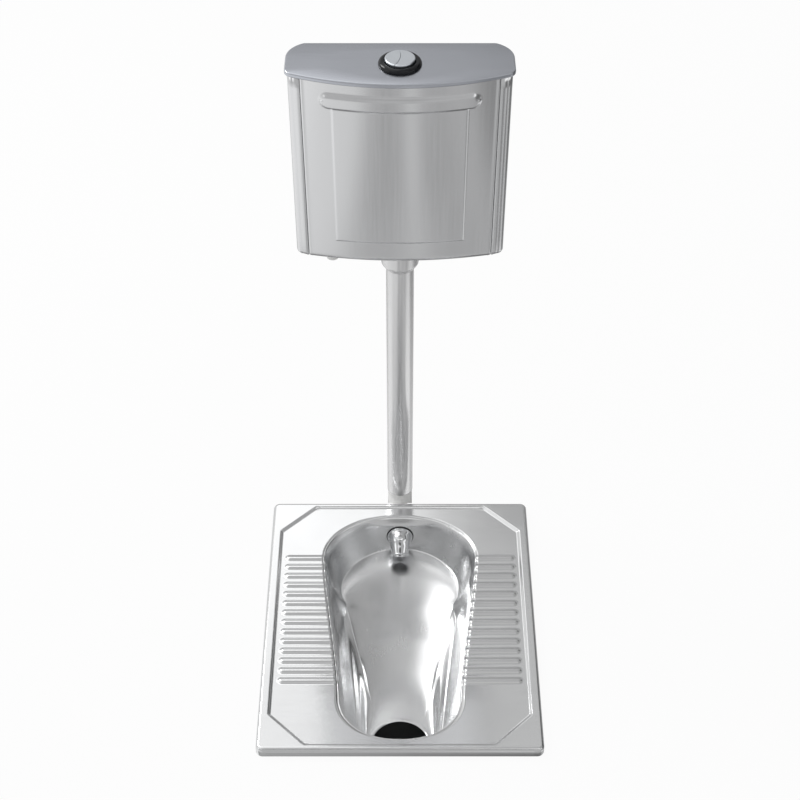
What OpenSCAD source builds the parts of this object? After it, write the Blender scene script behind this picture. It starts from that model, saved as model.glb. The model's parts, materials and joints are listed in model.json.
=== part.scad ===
// Squat toilet: a pressed stainless steel pan with ribbed foot rests and a deep-drawn bowl,
// a straight flush pipe, and a wall-hung stainless cistern with a dual-flush valve.
// Frame: +Z up, +Y towards the wall, +X to the right of someone who faces the wall.
// Origin: the centre of the pan, on the plane that its folded lip rests on.

/* [Pan] */
// Width of the pan, side to side
pan_w = 500; // [480:5:540]
// Length of the pan, front to back
pan_l = 600; // [580:5:640]
// Height of the folded-down skirt
pan_h = 20; // [17:1:26]
// Thickness of the pan's and the bowl's sheet
pan_sheet = 1.5; // [1.2:0.1:2]
// Plan radius of the pan's corners, and width of the lip folded in under the skirt
pan_corner_r = 12; // [10:1:14]
// Radius along the pan's top edge
pan_edge_r = 6; // [4:0.5:8]
// Width of the raised border at the two sides
border_side = 19; // [16:1:24]
// Width of the raised border at the front and the back
border_end = 12; // [12:1:16]
// Length of the octagon's cut corners, along each side
octagon_cut = 65; // [50:1:80]
// Depth of the octagonal platform below the border
platform_drop = 3.5; // [3:0.25:4.5]

/* [Foot ribs] */
// Ribs on each side
rib_count = 14; // [10:1:14]
// Distance from one rib to the next
rib_pitch = 23; // [20:0.5:24]
// Place of the rearmost rib in front of the pan's back edge
rib_first_gap = 147; // [140:1:155]
// Width of a rib
rib_w = 12.5; // [10:0.5:14]
// Height of a rib above the platform
rib_h = 3; // [2:0.25:3]
// Distance from a rib's outer end to the border
rib_end_gap = 12; // [8:1:20]

/* [Bowl] */
// Bowl opening's distance from the pan's back edge
bowl_back_gap = 35; // [30:1:45]
// Bowl opening's distance from the pan's front edge
bowl_front_gap = 28; // [24:1:40]
// Widest width of the opening, near the back
bowl_back_w = 286; // [270:2:300]
// Width of the opening where its front arc starts
bowl_front_w = 212; // [196:2:226]
// Length of the opening's back arc
bowl_back_arc = 110; // [90:2:130]
// Length of the opening's front arc
bowl_front_arc = 92; // [80:2:110]
// How far the floor's edge lies inside the opening at the sides
bowl_wall_run = 28; // [22:1:34]
// Depth of the floor's edge at the back, below the pan's top
shelf_depth = 82; // [78:1:95]
// Depth of the outlet, below the pan's top
bowl_depth = 150; // [135:1:170]
// How far the floor curves up to its edge at the sides
floor_rise = 22; // [12:1:26]
// How far the pressed shoulders stand into the bowl
shoulder_in = 9; // [4:1:12]
// Place of the pressed shoulders in front of the pan's back edge
shoulder_gap = 194; // [180:2:210]
// How far the bowl's rim stands above the platform
rim_up = 1.2; // [0.8:0.1:1.6]
// Width of the flange that joins the bowl to the pan
flange_w = 8; // [6:0.5:12]
// Facets round the bowl
bowl_facets = 72; // [72:36:108]

/* [Waste outlet] */
// Outer diameter of the waste spigot
spigot_d = 110; // [100:1:115]
// Wall of the waste spigot
spigot_wall = 2.5; // [2:0.25:3]
// How far the spigot reaches below the bowl
spigot_l = 70; // [50:5:100]
// Distance from the outlet's centre to the pan's front edge
outlet_gap = 122; // [118:1:130]
// Height of the rolled collar round the outlet
outlet_bead = 3.5; // [2.5:0.5:5]

/* [Fixing lugs] */
// Width of a fixing lug
lug_w = 30; // [20:1:40]
// Length of a lug's leg below the platform
lug_drop = 45; // [30:1:60]
// Thickness of a lug
lug_sheet = 2; // [1.5:0.5:3]
// Lugs' distance from the pan's centre line
lug_x = 178; // [165:1:185]
// Lugs' distance from the pan's middle
lug_y = 225; // [200:1:230]

/* [Flush inlet] */
// Depth of the nozzle's axis below the pan's top
nozzle_depth = 46.5; // [46.5:0.5:48]
// How far the flat seat of the nozzle lies in front of the opening's back
seat_inset = 12; // [10:0.5:14]
// Diameter of the nozzle's collar
nozzle_collar_d = 50; // [46:1:52]
// Thickness of the nozzle's collar
nozzle_collar_t = 4; // [3:0.5:6]
// Diameter of the nozzle's tip
nozzle_tip_d = 36; // [34:1:40]
// How far the nozzle's elbow lies in front of its seat
elbow_out = 12; // [11:0.5:14]
// Length of the nozzle's spout beyond its elbow
spout_l = 31; // [26:1:33]
// Downward tilt of the nozzle's spout
nozzle_tilt = 35; // [30:1:38]
// Bore of the nozzle
nozzle_bore = 29; // [26:0.5:30]
// Outer diameter of the threaded tail behind the bowl
tail_d = 37; // [36:0.5:38]
// Length of the tail behind its seat
tail_l = 39; // [36:1:42]
// Thickness of the rubber gasket behind the bowl
gasket_t = 3; // [2:0.5:4]
// Thickness of the locknut
locknut_t = 10; // [8:1:12]

/* [Flush pipe] */
// Distance from the pan's back edge to the pipe's axis
pipe_setback = 44; // [42:1:60]
// Outer diameter of the flush pipe
pipe_d = 50; // [48:0.5:52]
// Wall of the flush pipe
pipe_wall = 0.8; // [0.6:0.1:1]
// Height of the pipe's lower end
pipe_bottom = 20; // [18:1:30]
// Wall of the plastic bend
bend_wall = 2.5; // [2:0.25:3]
// Centre-line radius of the bend
bend_r = 44; // [40:0.5:44]
// How far the bend reaches up into the pipe
bend_insert = 35; // [20:1:50]
// How far the bend slides over the nozzle's tail
bend_overlap = 21; // [16:1:24]

/* [Cistern] */
// Distance from the pipe's axis to the wall
wall_gap = 68; // [64:1:76]
// Height of the cistern's underside
cistern_z = 625; // [560:5:700]
// Height of the cistern's shell
cistern_h = 361; // [345:1:380]
// Width of the cistern's shell at the top
cistern_w = 368; // [350:2:390]
// Depth of the cistern's shell at the top
cistern_depth = 129; // [124:1:136]
// How much narrower each side is at the bottom
taper_side = 5; // [2:0.5:8]
// How much further back the front is at the bottom
taper_front = 8; // [3:0.5:10]
// Bulge of the front, at the top
bulge_top = 38; // [30:1:42]
// Bulge of the front, at the bottom
bulge_bottom = 22; // [16:1:28]
// Radius of the front corners
front_corner_r = 12; // [9:1:15]
// Radius of the back corners
back_corner_r = 45; // [38:1:50]
// Thickness of the cistern's sheet
cistern_sheet = 1.2; // [1:0.1:1.5]
// Distance from the front panel's edge to the shell's side, at the top
front_seam = 21; // [16:0.5:24]
// How far the sides reach under the front panel
seam_lap = 8; // [6:1:12]
// Height over which the bottom edges are rounded
foot_round = 8; // [6:1:10]
// Wall screws' distance inside the back panel's edge
hole_edge = 19; // [16:1:30]
// Wall screws' distance below the shell's top
hole_drop = 36; // [34:1:50]
// Radius of the holes for the wall screws
hole_r = 5; // [4:0.5:5]
// Height of the strip behind the wall screws
hanger_h = 36; // [30:1:44]

/* [Front embossing] */
// Length of the pressed bar
bar_l = 268; // [220:2:280]
// Height of the pressed bar
bar_h = 32; // [26:1:36]
// How far the bar stands out
bar_out = 4.5; // [3:0.5:6]
// Distance from the shell's top to the bar's middle
bar_drop = 39; // [34:1:46]
// Half-width of the pressed field
field_half_w = 113; // [100:1:118]
// Height of the field's lower edge above the cistern's underside
field_up = 41; // [30:1:60]
// How far the field stands out
field_out = 1.4; // [1:0.1:2]

/* [Lid] */
// How far the lid overhangs the shell
lid_over = 4.4; // [3.5:0.1:6]
// Height of the lid's folded edge
lid_lip = 7.5; // [6:0.5:10]
// How far the lid lifts off in the model
lid_travel = 80; // [60:5:120]

/* [Push buttons] */
// Diameter of the black bezel
bezel_d = 72; // [66:1:76]
// Height of the bezel
bezel_h = 7; // [5:0.5:8]
// Diameter of the two-part button
button_d = 50.4; // [48:0.2:52]
// Height of the buttons above the lid
button_up = 12; // [11:0.5:14]
// Travel of each button
button_travel = 7; // [5:0.5:8]
// Radius of the curved gap between the two buttons
divide_r = 55; // [50:1:60]
// Width of the gap between the two buttons
divide_gap = 0.6; // [0.4:0.1:1]
// Depth of the button housing below the lid
housing_drop = 32; // [29:1:36]
// Radius of the push rods
push_rod_r = 2.5; // [2:0.25:3]
// Push rods' distance inside the button's edge
push_rod_in = 5.2; // [5.2:0.1:5.6]
// Turns of each return spring
spring_turns = 6; // [4:1:8]

/* [Flush valve] */
// Outer diameter of the valve's threaded tail
valve_tail_d = 48; // [46:0.5:48]
// Length of the valve's tail below the cistern
valve_tail_l = 27; // [25:1:30]
// Diameter of the valve's base flange
valve_flange_d = 76; // [74:1:80]
// Height of the valve's cage above its base
cage_h = 178; // [160:2:190]
// Outer diameter of the overflow tube
overflow_d = 24; // [20:0.5:24]
// Height of the overflow tube's mouth above the cage
overflow_up = 56; // [54:1:60]
// Lift of the valve's piston
piston_lift = 8.7; // [8.2:0.1:9]

/* [Fill valve] */
// Fill valve's distance inside the cistern's left side
fill_in = 64; // [59:1:79]
// Fill valve's distance behind the pipe's axis
fill_back = 4; // [0:1:8]
// Diameter of the inlet shank's free end
shank_d = 20.96; // [20.8:0.02:21]
// Length of the inlet shank's free end
shank_l = 20; // [15:1:30]
// Height of the fill valve above the cistern's floor
fill_h = 262; // [250:2:280]
// Diameter of the float
float_d = 48; // [42:1:50]
// Height of the float
float_h = 55; // [45:1:60]
// Travel of the float
float_travel = 18; // [14:1:18]
// Length of the float's arm
float_arm_l = 36; // [34:0.5:38]

/* [Fits] */
// Gap between a plain part and its seat in the same assembly
fit_gap = 0.2; // [0.1:0.05:0.3]
// Radial running clearance of a pin
pin_play = 0.06; // [0.03:0.01:0.1]
// Gap between parts that move past each other
move_gap = 0.5; // [0.4:0.05:0.6]

/* [Hidden] */
$fn = 64;
eps = 0.01;

// Main places
axis_y = pan_l / 2 + pipe_setback;
wall_y = axis_y + wall_gap;
platform_z = pan_h - platform_drop;
platform_under = platform_z - pan_sheet;
nozzle_z = pan_h - nozzle_depth;

// Bowl outline
rim_back = pan_l / 2 - bowl_back_gap;
rim_front = -pan_l / 2 + bowl_front_gap;
rim_z = platform_z + rim_up;
edge_back = rim_back - seat_inset;
edge_front = rim_front + bowl_wall_run;
outlet_y = -pan_l / 2 + outlet_gap;
outlet_z = pan_h - bowl_depth;
neck_step = 1.2;
neck_r = spigot_d / 2 - neck_step;
neck_l = 12;
outlet_r = neck_r + 2 * fit_gap;
outlet_land = 7;
land_r = outlet_r + outlet_land;
bead_r = outlet_bead / 2;
bead_at = land_r - 1.5 - bead_r;
seat_y = edge_back;
shoulder_y = pan_l / 2 - shoulder_gap;
shoulder_l = 17;
back_arc_in = 8;
front_arc_in = 17;
rise_run = 190;
collar_skirt = 0.6;

// Cistern heights and main places
cistern_top = cistern_z + cistern_h;
cistern_front_y = wall_y - cistern_depth;
panel_proud = cistern_sheet + fit_gap;
back_half_w = cistern_w / 2 - back_corner_r - 10;
front_half_w = cistern_w / 2 - front_seam;
lid_under = cistern_top + 0.3;
lid_top = lid_under + cistern_sheet;
floor_top = cistern_z + cistern_sheet;
bar_z = cistern_top - bar_drop;
field_z = cistern_z + field_up;
hole_x = back_half_w - hole_edge;
hole_z = cistern_top - hole_drop;
hanger_t = 2.5;
hanger_in = 2;

// Flush valve heights
washer_t = 3;
valve_flange_z = floor_top + washer_t;
valve_flange_t = 4.8;
valve_seat_z = valve_flange_z + valve_flange_t;
valve_seat_h = 3;
cage_z = valve_seat_z + cage_h;
cage_plate = 4;
pivot_up = 14;
pivot_z = cage_z + cage_plate + pivot_up;
lever_t = 5;
lever_y = 18;
lever_pivot_x = 6;
lever_pin_r = 1.5;
lever_tip = 10;
lever_rest = 0.4;
yoke_z = pivot_z + lever_t / 2 + lever_rest;
yoke_t = 4;
collar_t = 4;
collar_z = yoke_z + yoke_t + piston_lift + move_gap;
seal_t = 2.7;
seal_gap = 0.3;
disc_z = valve_seat_z + valve_seat_h + seal_gap + seal_t;
valve_tail_end = cistern_z - valve_tail_l;

// Button heights
button_gap = move_gap;
button_top = lid_top + button_up;
button_base = lid_top - 1;
housing_floor_t = 3;
housing_bottom = lid_top - housing_drop;
housing_floor = housing_bottom + housing_floor_t;
housing_bore_r = button_d / 2 + button_gap;
housing_r = housing_bore_r + 2.9;
lid_hole_r = housing_r + 0.4;
push_rod_end = pivot_z + lever_t / 2 + move_gap;
push_rod_x = button_d / 2 - push_rod_in;

// Fill valve places
fill_x = cistern_w / 2 - fill_in;
fill_y = axis_y + fill_back;
column_r = 9;
fill_bore_r = 6;
fill_washer_t = 2;
fill_flange_r = 16;
fill_flange_t = 3;
fill_foot_r = 12;
fill_foot_h = 22;
fill_head_r = 13;
fill_head_h = 18;
fill_head_drop = 13;
ear_l = 4;
ear_t = 3;
ear_h = 10;
slot_w = 8;
arm_z = floor_top + fill_h;
arm_start = -asin(float_travel / 2 / float_arm_l);
arm_pivot_x = 15;
float_z = arm_z - 110;
link_x = arm_pivot_x + float_arm_l * cos(arm_start);

// ---- Helpers ----

function mix(a, b, s) = a + (b - a) * s;
function unit_part(s) = min(1, max(0, s));
function ease(s) = let (c = unit_part(s)) c * c * (3 - 2 * c);
function unit(v) = v / norm(v);
function arc(c, r, a0, a1, n) =
    [for (i = [0:n]) let (a = mix(a0, a1, i / n)) c + r * [cos(a), sin(a)]];
function reversed(list) = [for (i = [len(list) - 1:-1:0]) list[i]];

// A path moved sideways, to the right of its direction of travel.
function path_normal(p, i) =
    let (d = unit(p[min(i + 1, len(p) - 1)] - p[max(i - 1, 0)])) [d[1], -d[0]];
function offset_path(p, d) = [for (i = [0:len(p) - 1]) p[i] + d * path_normal(p, i)];

// A closed sheet between two grids of points. Outside lies along column step x row step.
module sheet_solid(outer, inner) {
    rows = len(outer);
    cols = len(outer[0]);
    half = rows * cols;
    function at(r, c) = r * cols + c;
    skin = [for (r = [0:rows - 2], c = [0:cols - 2]) each [
        [at(r, c), at(r + 1, c), at(r + 1, c + 1)],
        [at(r, c), at(r + 1, c + 1), at(r, c + 1)],
        [half + at(r, c), half + at(r + 1, c + 1), half + at(r + 1, c)],
        [half + at(r, c), half + at(r, c + 1), half + at(r + 1, c + 1)]
    ]];
    function strip(a, b) = [[a, b, half + b], [a, half + b, half + a]];
    ends = [for (c = [0:cols - 2]) each concat(
        strip(at(0, c), at(0, c + 1)), strip(at(rows - 1, c + 1), at(rows - 1, c)))];
    sides = [for (r = [0:rows - 2]) each concat(
        strip(at(r + 1, 0), at(r, 0)), strip(at(r, cols - 1), at(r + 1, cols - 1)))];
    points = concat([for (row = outer) each row], [for (row = inner) each row]);
    polyhedron(points, concat(skin, ends, sides), convexity = 10);
}

// A ring-shaped solid: the rows of points close on themselves both ways.
module ring_solid(rings) {
    rows = len(rings);
    cols = len(rings[0]);
    function at(r, c) = (r % rows) * cols + c % cols;
    faces = [for (r = [0:rows - 1], c = [0:cols - 1]) each [
        [at(r, c), at(r + 1, c), at(r + 1, c + 1)],
        [at(r, c), at(r + 1, c + 1), at(r, c + 1)]
    ]];
    polyhedron([for (ring = rings) each ring], faces, convexity = 10);
}

// A ring or a tube about the Z axis.
module tube(r_out, r_in, h) {
    difference() {
        cylinder(r = r_out, h = h);
        translate([0, 0, -1]) cylinder(r = r_in, h = h + 2);
    }
}

// Moves its children to the valve's axis, at a height.
module on_axis(z) {
    translate([0, axis_y, z]) children();
}

// Turns its children so that their +Z points to the wall, on the nozzle's axis, at y.
module on_nozzle(y) {
    translate([0, y, nozzle_z]) rotate([-90, 0, 0]) children();
}

// ---- Pan ----

function skirt_section() = concat(
    [[-pan_corner_r, 0], [0, 0]],
    arc([-pan_edge_r, pan_h - pan_edge_r], pan_edge_r, 0, 90, 6),
    [[-pan_corner_r, pan_h], [-pan_corner_r, pan_h - pan_sheet]],
    arc([-pan_edge_r, pan_h - pan_edge_r], pan_edge_r - pan_sheet, 90, 0, 6),
    [[-pan_sheet, pan_sheet], [-pan_corner_r, pan_sheet]]
);

// The skirt and the edge radius, swept round the pan.
module skirt() {
    long = pan_l - 2 * pan_corner_r;
    wide = pan_w - 2 * pan_corner_r;
    for (side = [0, 1]) rotate([0, 0, 180 * side]) {
        translate([pan_w / 2, long / 2, 0]) rotate([90, 0, 0])
            linear_extrude(long) polygon(skirt_section());
        translate([-wide / 2, pan_l / 2, 0]) rotate([90, 0, 90])
            linear_extrude(wide) polygon(skirt_section());
        for (corner = [[1, 1, 0], [-1, 1, 90]])
            translate([corner[0] * wide / 2, corner[1] * long / 2, 0])
                rotate([0, 0, corner[2]]) rotate_extrude(angle = 90)
                    translate([pan_corner_r, 0]) polygon(skirt_section());
    }
}

// The octagon inside the border, grown by d.
function octagon(d) =
    let (w = pan_w / 2 - border_side + d, l = pan_l / 2 - border_end + d,
         cut = octagon_cut + d * (2 - sqrt(2)))
    [[w, l - cut], [w - cut, l], [cut - w, l], [-w, l - cut],
     [-w, cut - l], [cut - w, -l], [w - cut, -l], [w, cut - l]];

// Half of a rib's rounded section: across and up.
function rib_section(w, h) =
    let (r = (w * w / 4 + h * h) / (2 * h), a = asin(w / 2 / r))
    concat(arc([0, h - r], r, 90 - a, 90, 5), [[0, 0]]);

// One foot rib with a round outer end, lying on z = 0 and reaching inwards from x_end to x_start.
module rib(x_start, x_end, w, h) {
    half = rib_section(w, h);
    full = concat([for (p = half) p], [for (p = reversed(half)) [-p[0], p[1]]]);
    translate([x_start, 0, 0]) rotate([90, 0, 90])
        linear_extrude(x_end - w / 2 - x_start)
            polygon(concat([for (i = [0:5]) half[i]], [for (i = [4:-1:0]) [-half[i][0], half[i][1]]]));
    translate([x_end - w / 2, 0, 0]) rotate([0, 0, -90])
        rotate_extrude(angle = 180) polygon(half);
}

module all_ribs(w, h) {
    x_end = pan_w / 2 - border_side - rib_end_gap - (rib_w - w) / 2;
    for (side = [0, 1], i = [0:rib_count - 1])
        mirror([side, 0, 0])
            translate([0, pan_l / 2 - rib_first_gap - i * rib_pitch, 0])
                rib(rim_width(pan_l / 2 - rib_first_gap - i * rib_pitch) - 6, x_end, w, h);
}

module pan_deck() {
    color([0.72, 0.72, 0.73]) difference() {
        union() {
            skirt();
            translate([0, 0, pan_h - pan_sheet]) linear_extrude(pan_sheet) difference() {
                square([pan_w - 2 * pan_corner_r, pan_l - 2 * pan_corner_r], center = true);
                polygon(octagon(0));
            }
            translate([0, 0, platform_under]) linear_extrude(platform_drop + pan_sheet)
                difference() {
                    polygon(octagon(pan_sheet));
                    polygon(octagon(0));
                }
            translate([0, 0, platform_under]) linear_extrude(pan_sheet)
                polygon(octagon(eps));
            translate([0, 0, platform_z]) all_ribs(rib_w, rib_h);
        }
        translate([0, 0, platform_under - eps])
            all_ribs(rib_w - 1.6 * pan_sheet, rib_h);
        translate([0, 0, -1]) linear_extrude(pan_h + 2)
            polygon([for (t = ring_angles()) rim_offset(t, pan_sheet + fit_gap)]);
    }
}

// ---- Bowl ----

// Half-width at y of an outline that is round at both ends and tapers between them.
function egg_width(y, back, front, back_arc, front_arc, back_w, front_w) =
    let (yb = back - back_arc, yf = front + front_arc, s = (y - yf) / (yb - yf))
    y >= yb ? back_w * sqrt(max(0, 1 - pow((y - yb) / back_arc, 2)))
    : y <= yf ? front_w * pow(max(0, 1 - pow((yf - y) / front_arc, 2.2)), 1 / 2.2)
    : mix(front_w, back_w, 0.6 * s + 0.4 * ease(s));
function rim_width(y) = egg_width(y, rim_back, rim_front, bowl_back_arc, bowl_front_arc,
    bowl_back_w / 2, bowl_front_w / 2);
function edge_width(y) = egg_width(y, edge_back, edge_front, bowl_back_arc - back_arc_in,
    bowl_front_arc - front_arc_in, bowl_back_w / 2 - bowl_wall_run,
    bowl_front_w / 2 - bowl_wall_run)
    - shoulder_in * exp(-pow((y - shoulder_y) / shoulder_l, 2));

function ring_angles() = [for (i = [0:bowl_facets - 1]) i * 360 / bowl_facets];
function side_of(t) = sin(t) > eps ? 1 : sin(t) < -eps ? -1 : 0;
function rim_point(t) =
    let (y = (rim_back + rim_front) / 2 + (rim_back - rim_front) / 2 * cos(t))
    [side_of(t) * rim_width(y), y];
function edge_point(t) =
    let (y = (edge_back + edge_front) / 2 + (edge_back - edge_front) / 2 * cos(t))
    [side_of(t) * edge_width(y), on_seat(t) ? seat_y : y];
function rim_offset(t, d) =
    let (step = unit(rim_point(t + 2) - rim_point(t - 2)))
    rim_point(t) + d * [-step[1], step[0]];

// The wall is flat over a few facets at the back, where the nozzle is bolted on.
function on_seat(t) = cos(t) > cos(11);

// The floor falls along its middle towards the outlet, and curves up to its edge at the sides.
function mid_z(y) =
    let (s = unit_part((edge_back - y) / (edge_back - outlet_y - land_r)))
    pan_h - mix(shelf_depth, bowl_depth, 1 - pow(1 - s, 1.15));
function side_rise(y) = floor_rise * ease((edge_back - y) / rise_run);
function edge_z(t) = let (y = edge_point(t)[1]) mid_z(y) + side_rise(y);
function wall_point(t, run, fall) =
    let (a = rim_point(t), b = edge_point(t), p = mix(a, b, run),
         z = mix(platform_z, edge_z(t), fall))
    [p[0], on_seat(t) && fall > 0.05 ? seat_y : p[1], z];
function outlet_turn(t) =
    let (p = edge_point(t), a = atan2(p[0], p[1] - outlet_y)) mix(t, a < 0 ? a + 360 : a, 0.5);
function outlet_point(t, r) = let (u = outlet_turn(t)) [r * sin(u), outlet_y + r * cos(u)];
function floor_point(t, s) =
    let (p = mix(edge_point(t), outlet_point(t, land_r), s),
         across = unit_part(abs(p[0]) / max(1, edge_width(p[1]))),
         rim_share = 1 - (1 - across) * (1 - pow(max(0, 1 - 2 * s), 2)),
         z = mid_z(p[1]) + side_rise(p[1]) * pow(rim_share, 3))
    [p[0], p[1], mix(z, outlet_z, ease(2 * s - 1))];

// Run and fall of the wall's rings, from the floor's edge up to the rim.
WALL = [[0.93, 0.965], [0.8, 0.88], [0.64, 0.74], [0.48, 0.56], [0.34, 0.37], [0.22, 0.2], [0.1, 0.05]];
FLOOR = [1, 0.9, 0.8, 0.68, 0.55, 0.42, 0.3, 0.2, 0.12, 0.05];
function inner_ring(k) =
    k < len(FLOOR) ? [for (t = ring_angles()) floor_point(t, FLOOR[k])]
    : [for (t = ring_angles()) let (w = WALL[k - len(FLOOR)]) wall_point(t, w[0], w[1])];
RINGS = len(FLOOR) + len(WALL);

function flat_ring(d, z) = [for (t = ring_angles()) let (p = rim_offset(t, d)) [p[0], p[1], z]];
function round_ring(r, z) = [for (t = ring_angles()) let (p = outlet_point(t, r)) [p[0], p[1], z]];

// The back of the sheet: each inner point moved through it, square to the surface.
function outer_ring(rings, k) =
    [for (i = [0:bowl_facets - 1])
        let (n = bowl_facets, p = rings[k][i],
             along = rings[k][(i + 1) % n] - rings[k][(i + n - 1) % n],
             up = rings[min(k + 1, RINGS - 1)][i] - rings[max(k - 1, 0)][i],
             flat = k == 0, seat = on_seat(i * 360 / n) && k >= len(FLOOR))
        p - pan_sheet * (flat ? [0, 0, 1] : seat ? [0, -1, 0] : unit(cross(along, up)))];

module pan_bowl() {
    inner = [for (k = [0:RINGS - 1]) inner_ring(k)];
    outer = [for (k = [RINGS - 1:-1:0]) outer_ring(inner, k)];
    color([0.62, 0.63, 0.64]) difference() {
        ring_solid(concat(
            [round_ring(outlet_r, outlet_z)],
            inner,
            [flat_ring(-collar_skirt, platform_z - 0.4), flat_ring(0, rim_z),
             flat_ring(pan_sheet, rim_z), flat_ring(pan_sheet, platform_under),
             flat_ring(pan_sheet + flange_w, platform_under),
             flat_ring(pan_sheet + flange_w, platform_under - pan_sheet),
             flat_ring(pan_sheet, platform_under - pan_sheet)],
            outer,
            [round_ring(outlet_r, outlet_z - pan_sheet)]
        ));
        on_nozzle(seat_y - 10) cylinder(r = tail_d / 2 + fit_gap, h = 30);
    }
}

module waste_spigot() {
    r = spigot_d / 2;
    color([0.7, 0.7, 0.71]) translate([0, outlet_y, 0]) rotate_extrude() difference() {
        union() {
            translate([r - spigot_wall, outlet_z - spigot_l])
                square([spigot_wall, spigot_l - neck_l]);
            translate([r - spigot_wall, outlet_z - spigot_l])
                square([spigot_wall - neck_step, spigot_l + bead_r]);
            translate([r - spigot_wall, outlet_z])
                square([bead_at - r + spigot_wall, bead_r]);
            translate([r - spigot_wall + bead_r, outlet_z + bead_r])
                square([bead_at - r + spigot_wall - bead_r, bead_r]);
            translate([bead_at, outlet_z + bead_r]) circle(bead_r);
        }
        translate([0, outlet_z - spigot_l - 1]) square([r - spigot_wall, spigot_l + 20]);
    }
}

// Four bent lugs, welded under the platform, that anchor the pan in its bed of mortar.
module fixing_lugs() {
    color([0.66, 0.66, 0.67]) for (sx = [-1, 1], sy = [-1, 1])
        translate([sx * lug_x, sy * lug_y, platform_under])
            difference() {
                union() {
                    translate([-lug_w / 2, -lug_w / 2, -lug_sheet])
                        cube([lug_w, lug_w, lug_sheet]);
                    translate([-lug_w / 2, sy * lug_w / 2 - (sy + 1) * lug_sheet / 2, -lug_drop])
                        cube([lug_w, lug_sheet, lug_drop]);
                    translate([-lug_w / 2, sy > 0 ? lug_w / 2 - lug_sheet : -lug_w / 2 - 12,
                               -lug_drop])
                        cube([lug_w, 12 + lug_sheet, lug_sheet]);
                }
                translate([0, sy * lug_w / 2, -lug_drop / 2]) rotate([90, 0, 0])
                    cylinder(r = 4.5, h = 4 * lug_sheet, center = true);
            }
}

// ---- Flush inlet ----

module flush_nozzle() {
    tip_r = nozzle_tip_d / 2;
    collar_r = nozzle_collar_d / 2;
    bore_r = nozzle_bore / 2;
    root_r = collar_r - 5.5;
    elbow_y = seat_y - elbow_out;
    lip = 4;
    color([0.82, 0.83, 0.85]) difference() {
        union() {
            on_nozzle(seat_y - nozzle_collar_t) cylinder(r = collar_r, h = nozzle_collar_t);
            on_nozzle(elbow_y) cylinder(r1 = root_r, r2 = collar_r - 2, h = elbow_out);
            on_nozzle(seat_y - 1) cylinder(r = tail_d / 2, h = 1 + tail_l);
            translate([0, elbow_y, nozzle_z]) {
                sphere(r = root_r + 0.7);
                rotate([90 + nozzle_tilt, 0, 0]) rotate_extrude() polygon(concat(
                    [[0, 0], [root_r, 0], [tip_r - 1.4, spout_l - lip]],
                    arc([tip_r - 2, spout_l - lip / 2], 2, -70, 80, 8),
                    [[0, spout_l]]
                ));
            }
        }
        on_nozzle(elbow_y) cylinder(r = bore_r - 0.7, h = elbow_out + tail_l + 20);
        translate([0, elbow_y, nozzle_z]) {
            sphere(r = bore_r + 0.7);
            rotate([90 + nozzle_tilt, 0, 0]) cylinder(r = bore_r, h = spout_l + 20);
        }
    }
}

module nozzle_gasket() {
    color([0.1, 0.1, 0.1]) on_nozzle(seat_y + pan_sheet)
        tube(nozzle_collar_d / 2 + 1, tail_d / 2 + 0.1, gasket_t);
}

module nozzle_locknut() {
    color([0.85, 0.85, 0.84]) on_nozzle(seat_y + pan_sheet + gasket_t) difference() {
        union() {
            cylinder(r = nozzle_collar_d / 2 + 3, h = locknut_t - 3, $fn = 6);
            cylinder(r = nozzle_collar_d / 2, h = locknut_t);
        }
        translate([0, 0, -1]) cylinder(r = tail_d / 2 + 0.1, h = locknut_t + 2);
    }
}

// The bend's outer radius passes inside the pipe, and its bore goes over the tail's rubber sleeve.
bend_out_r = pipe_d / 2 - pipe_wall - fit_gap;
bend_in_r = bend_out_r - bend_wall;
bend_end_y = seat_y + tail_l - bend_overlap;

module inlet_sleeve() {
    color([0.12, 0.12, 0.12]) on_nozzle(bend_end_y)
        tube(bend_in_r - 0.1, tail_d / 2 + 0.1, bend_overlap - 1);
}

module flush_bend() {
    bend_y = axis_y - bend_r;
    bend_z = nozzle_z + bend_r;
    color([0.94, 0.94, 0.93]) {
        on_axis(bend_z) tube(bend_out_r, bend_in_r, pipe_bottom + bend_insert - bend_z);
        translate([0, bend_y, bend_z]) rotate([-90, 0, 90]) rotate_extrude(angle = 90)
            translate([bend_r, 0]) difference() {
                circle(bend_out_r);
                circle(bend_in_r);
            }
        on_nozzle(bend_end_y) tube(bend_out_r, bend_in_r, bend_y - bend_end_y);
    }
}

// ---- Flush pipe and its coupling ----

pipe_top = valve_tail_end - 1;
coupling_top = cistern_z - 12;
coupling_cone = 14;
coupling_r = pipe_d / 2 + 8.5;
coupling_h = 36;
coupling_bottom = coupling_top - coupling_h;
seal_step = 4;

module flush_pipe() {
    color([0.73, 0.73, 0.74]) on_axis(pipe_bottom)
        tube(pipe_d / 2, pipe_d / 2 - pipe_wall, pipe_top - pipe_bottom);
}

// The cup-shaped nut that squeezes the rubber seal on to the pipe.
module coupling_nut() {
    pipe_r = pipe_d / 2;
    thread_r = valve_tail_d / 2 + 0.1;
    color([0.7, 0.7, 0.71]) on_axis(coupling_bottom) rotate_extrude() polygon([
        [pipe_r + fit_gap, 0], [pipe_r + 1.6, 0],
        [coupling_r, coupling_cone - 4], [coupling_r, coupling_h - 1],
        [coupling_r - 1, coupling_h], [thread_r, coupling_h],
        [thread_r, coupling_h - 12], [coupling_r - 3, coupling_h - 12],
        [coupling_r - 3, coupling_cone], [pipe_r + fit_gap, 5]
    ]);
}

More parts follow.
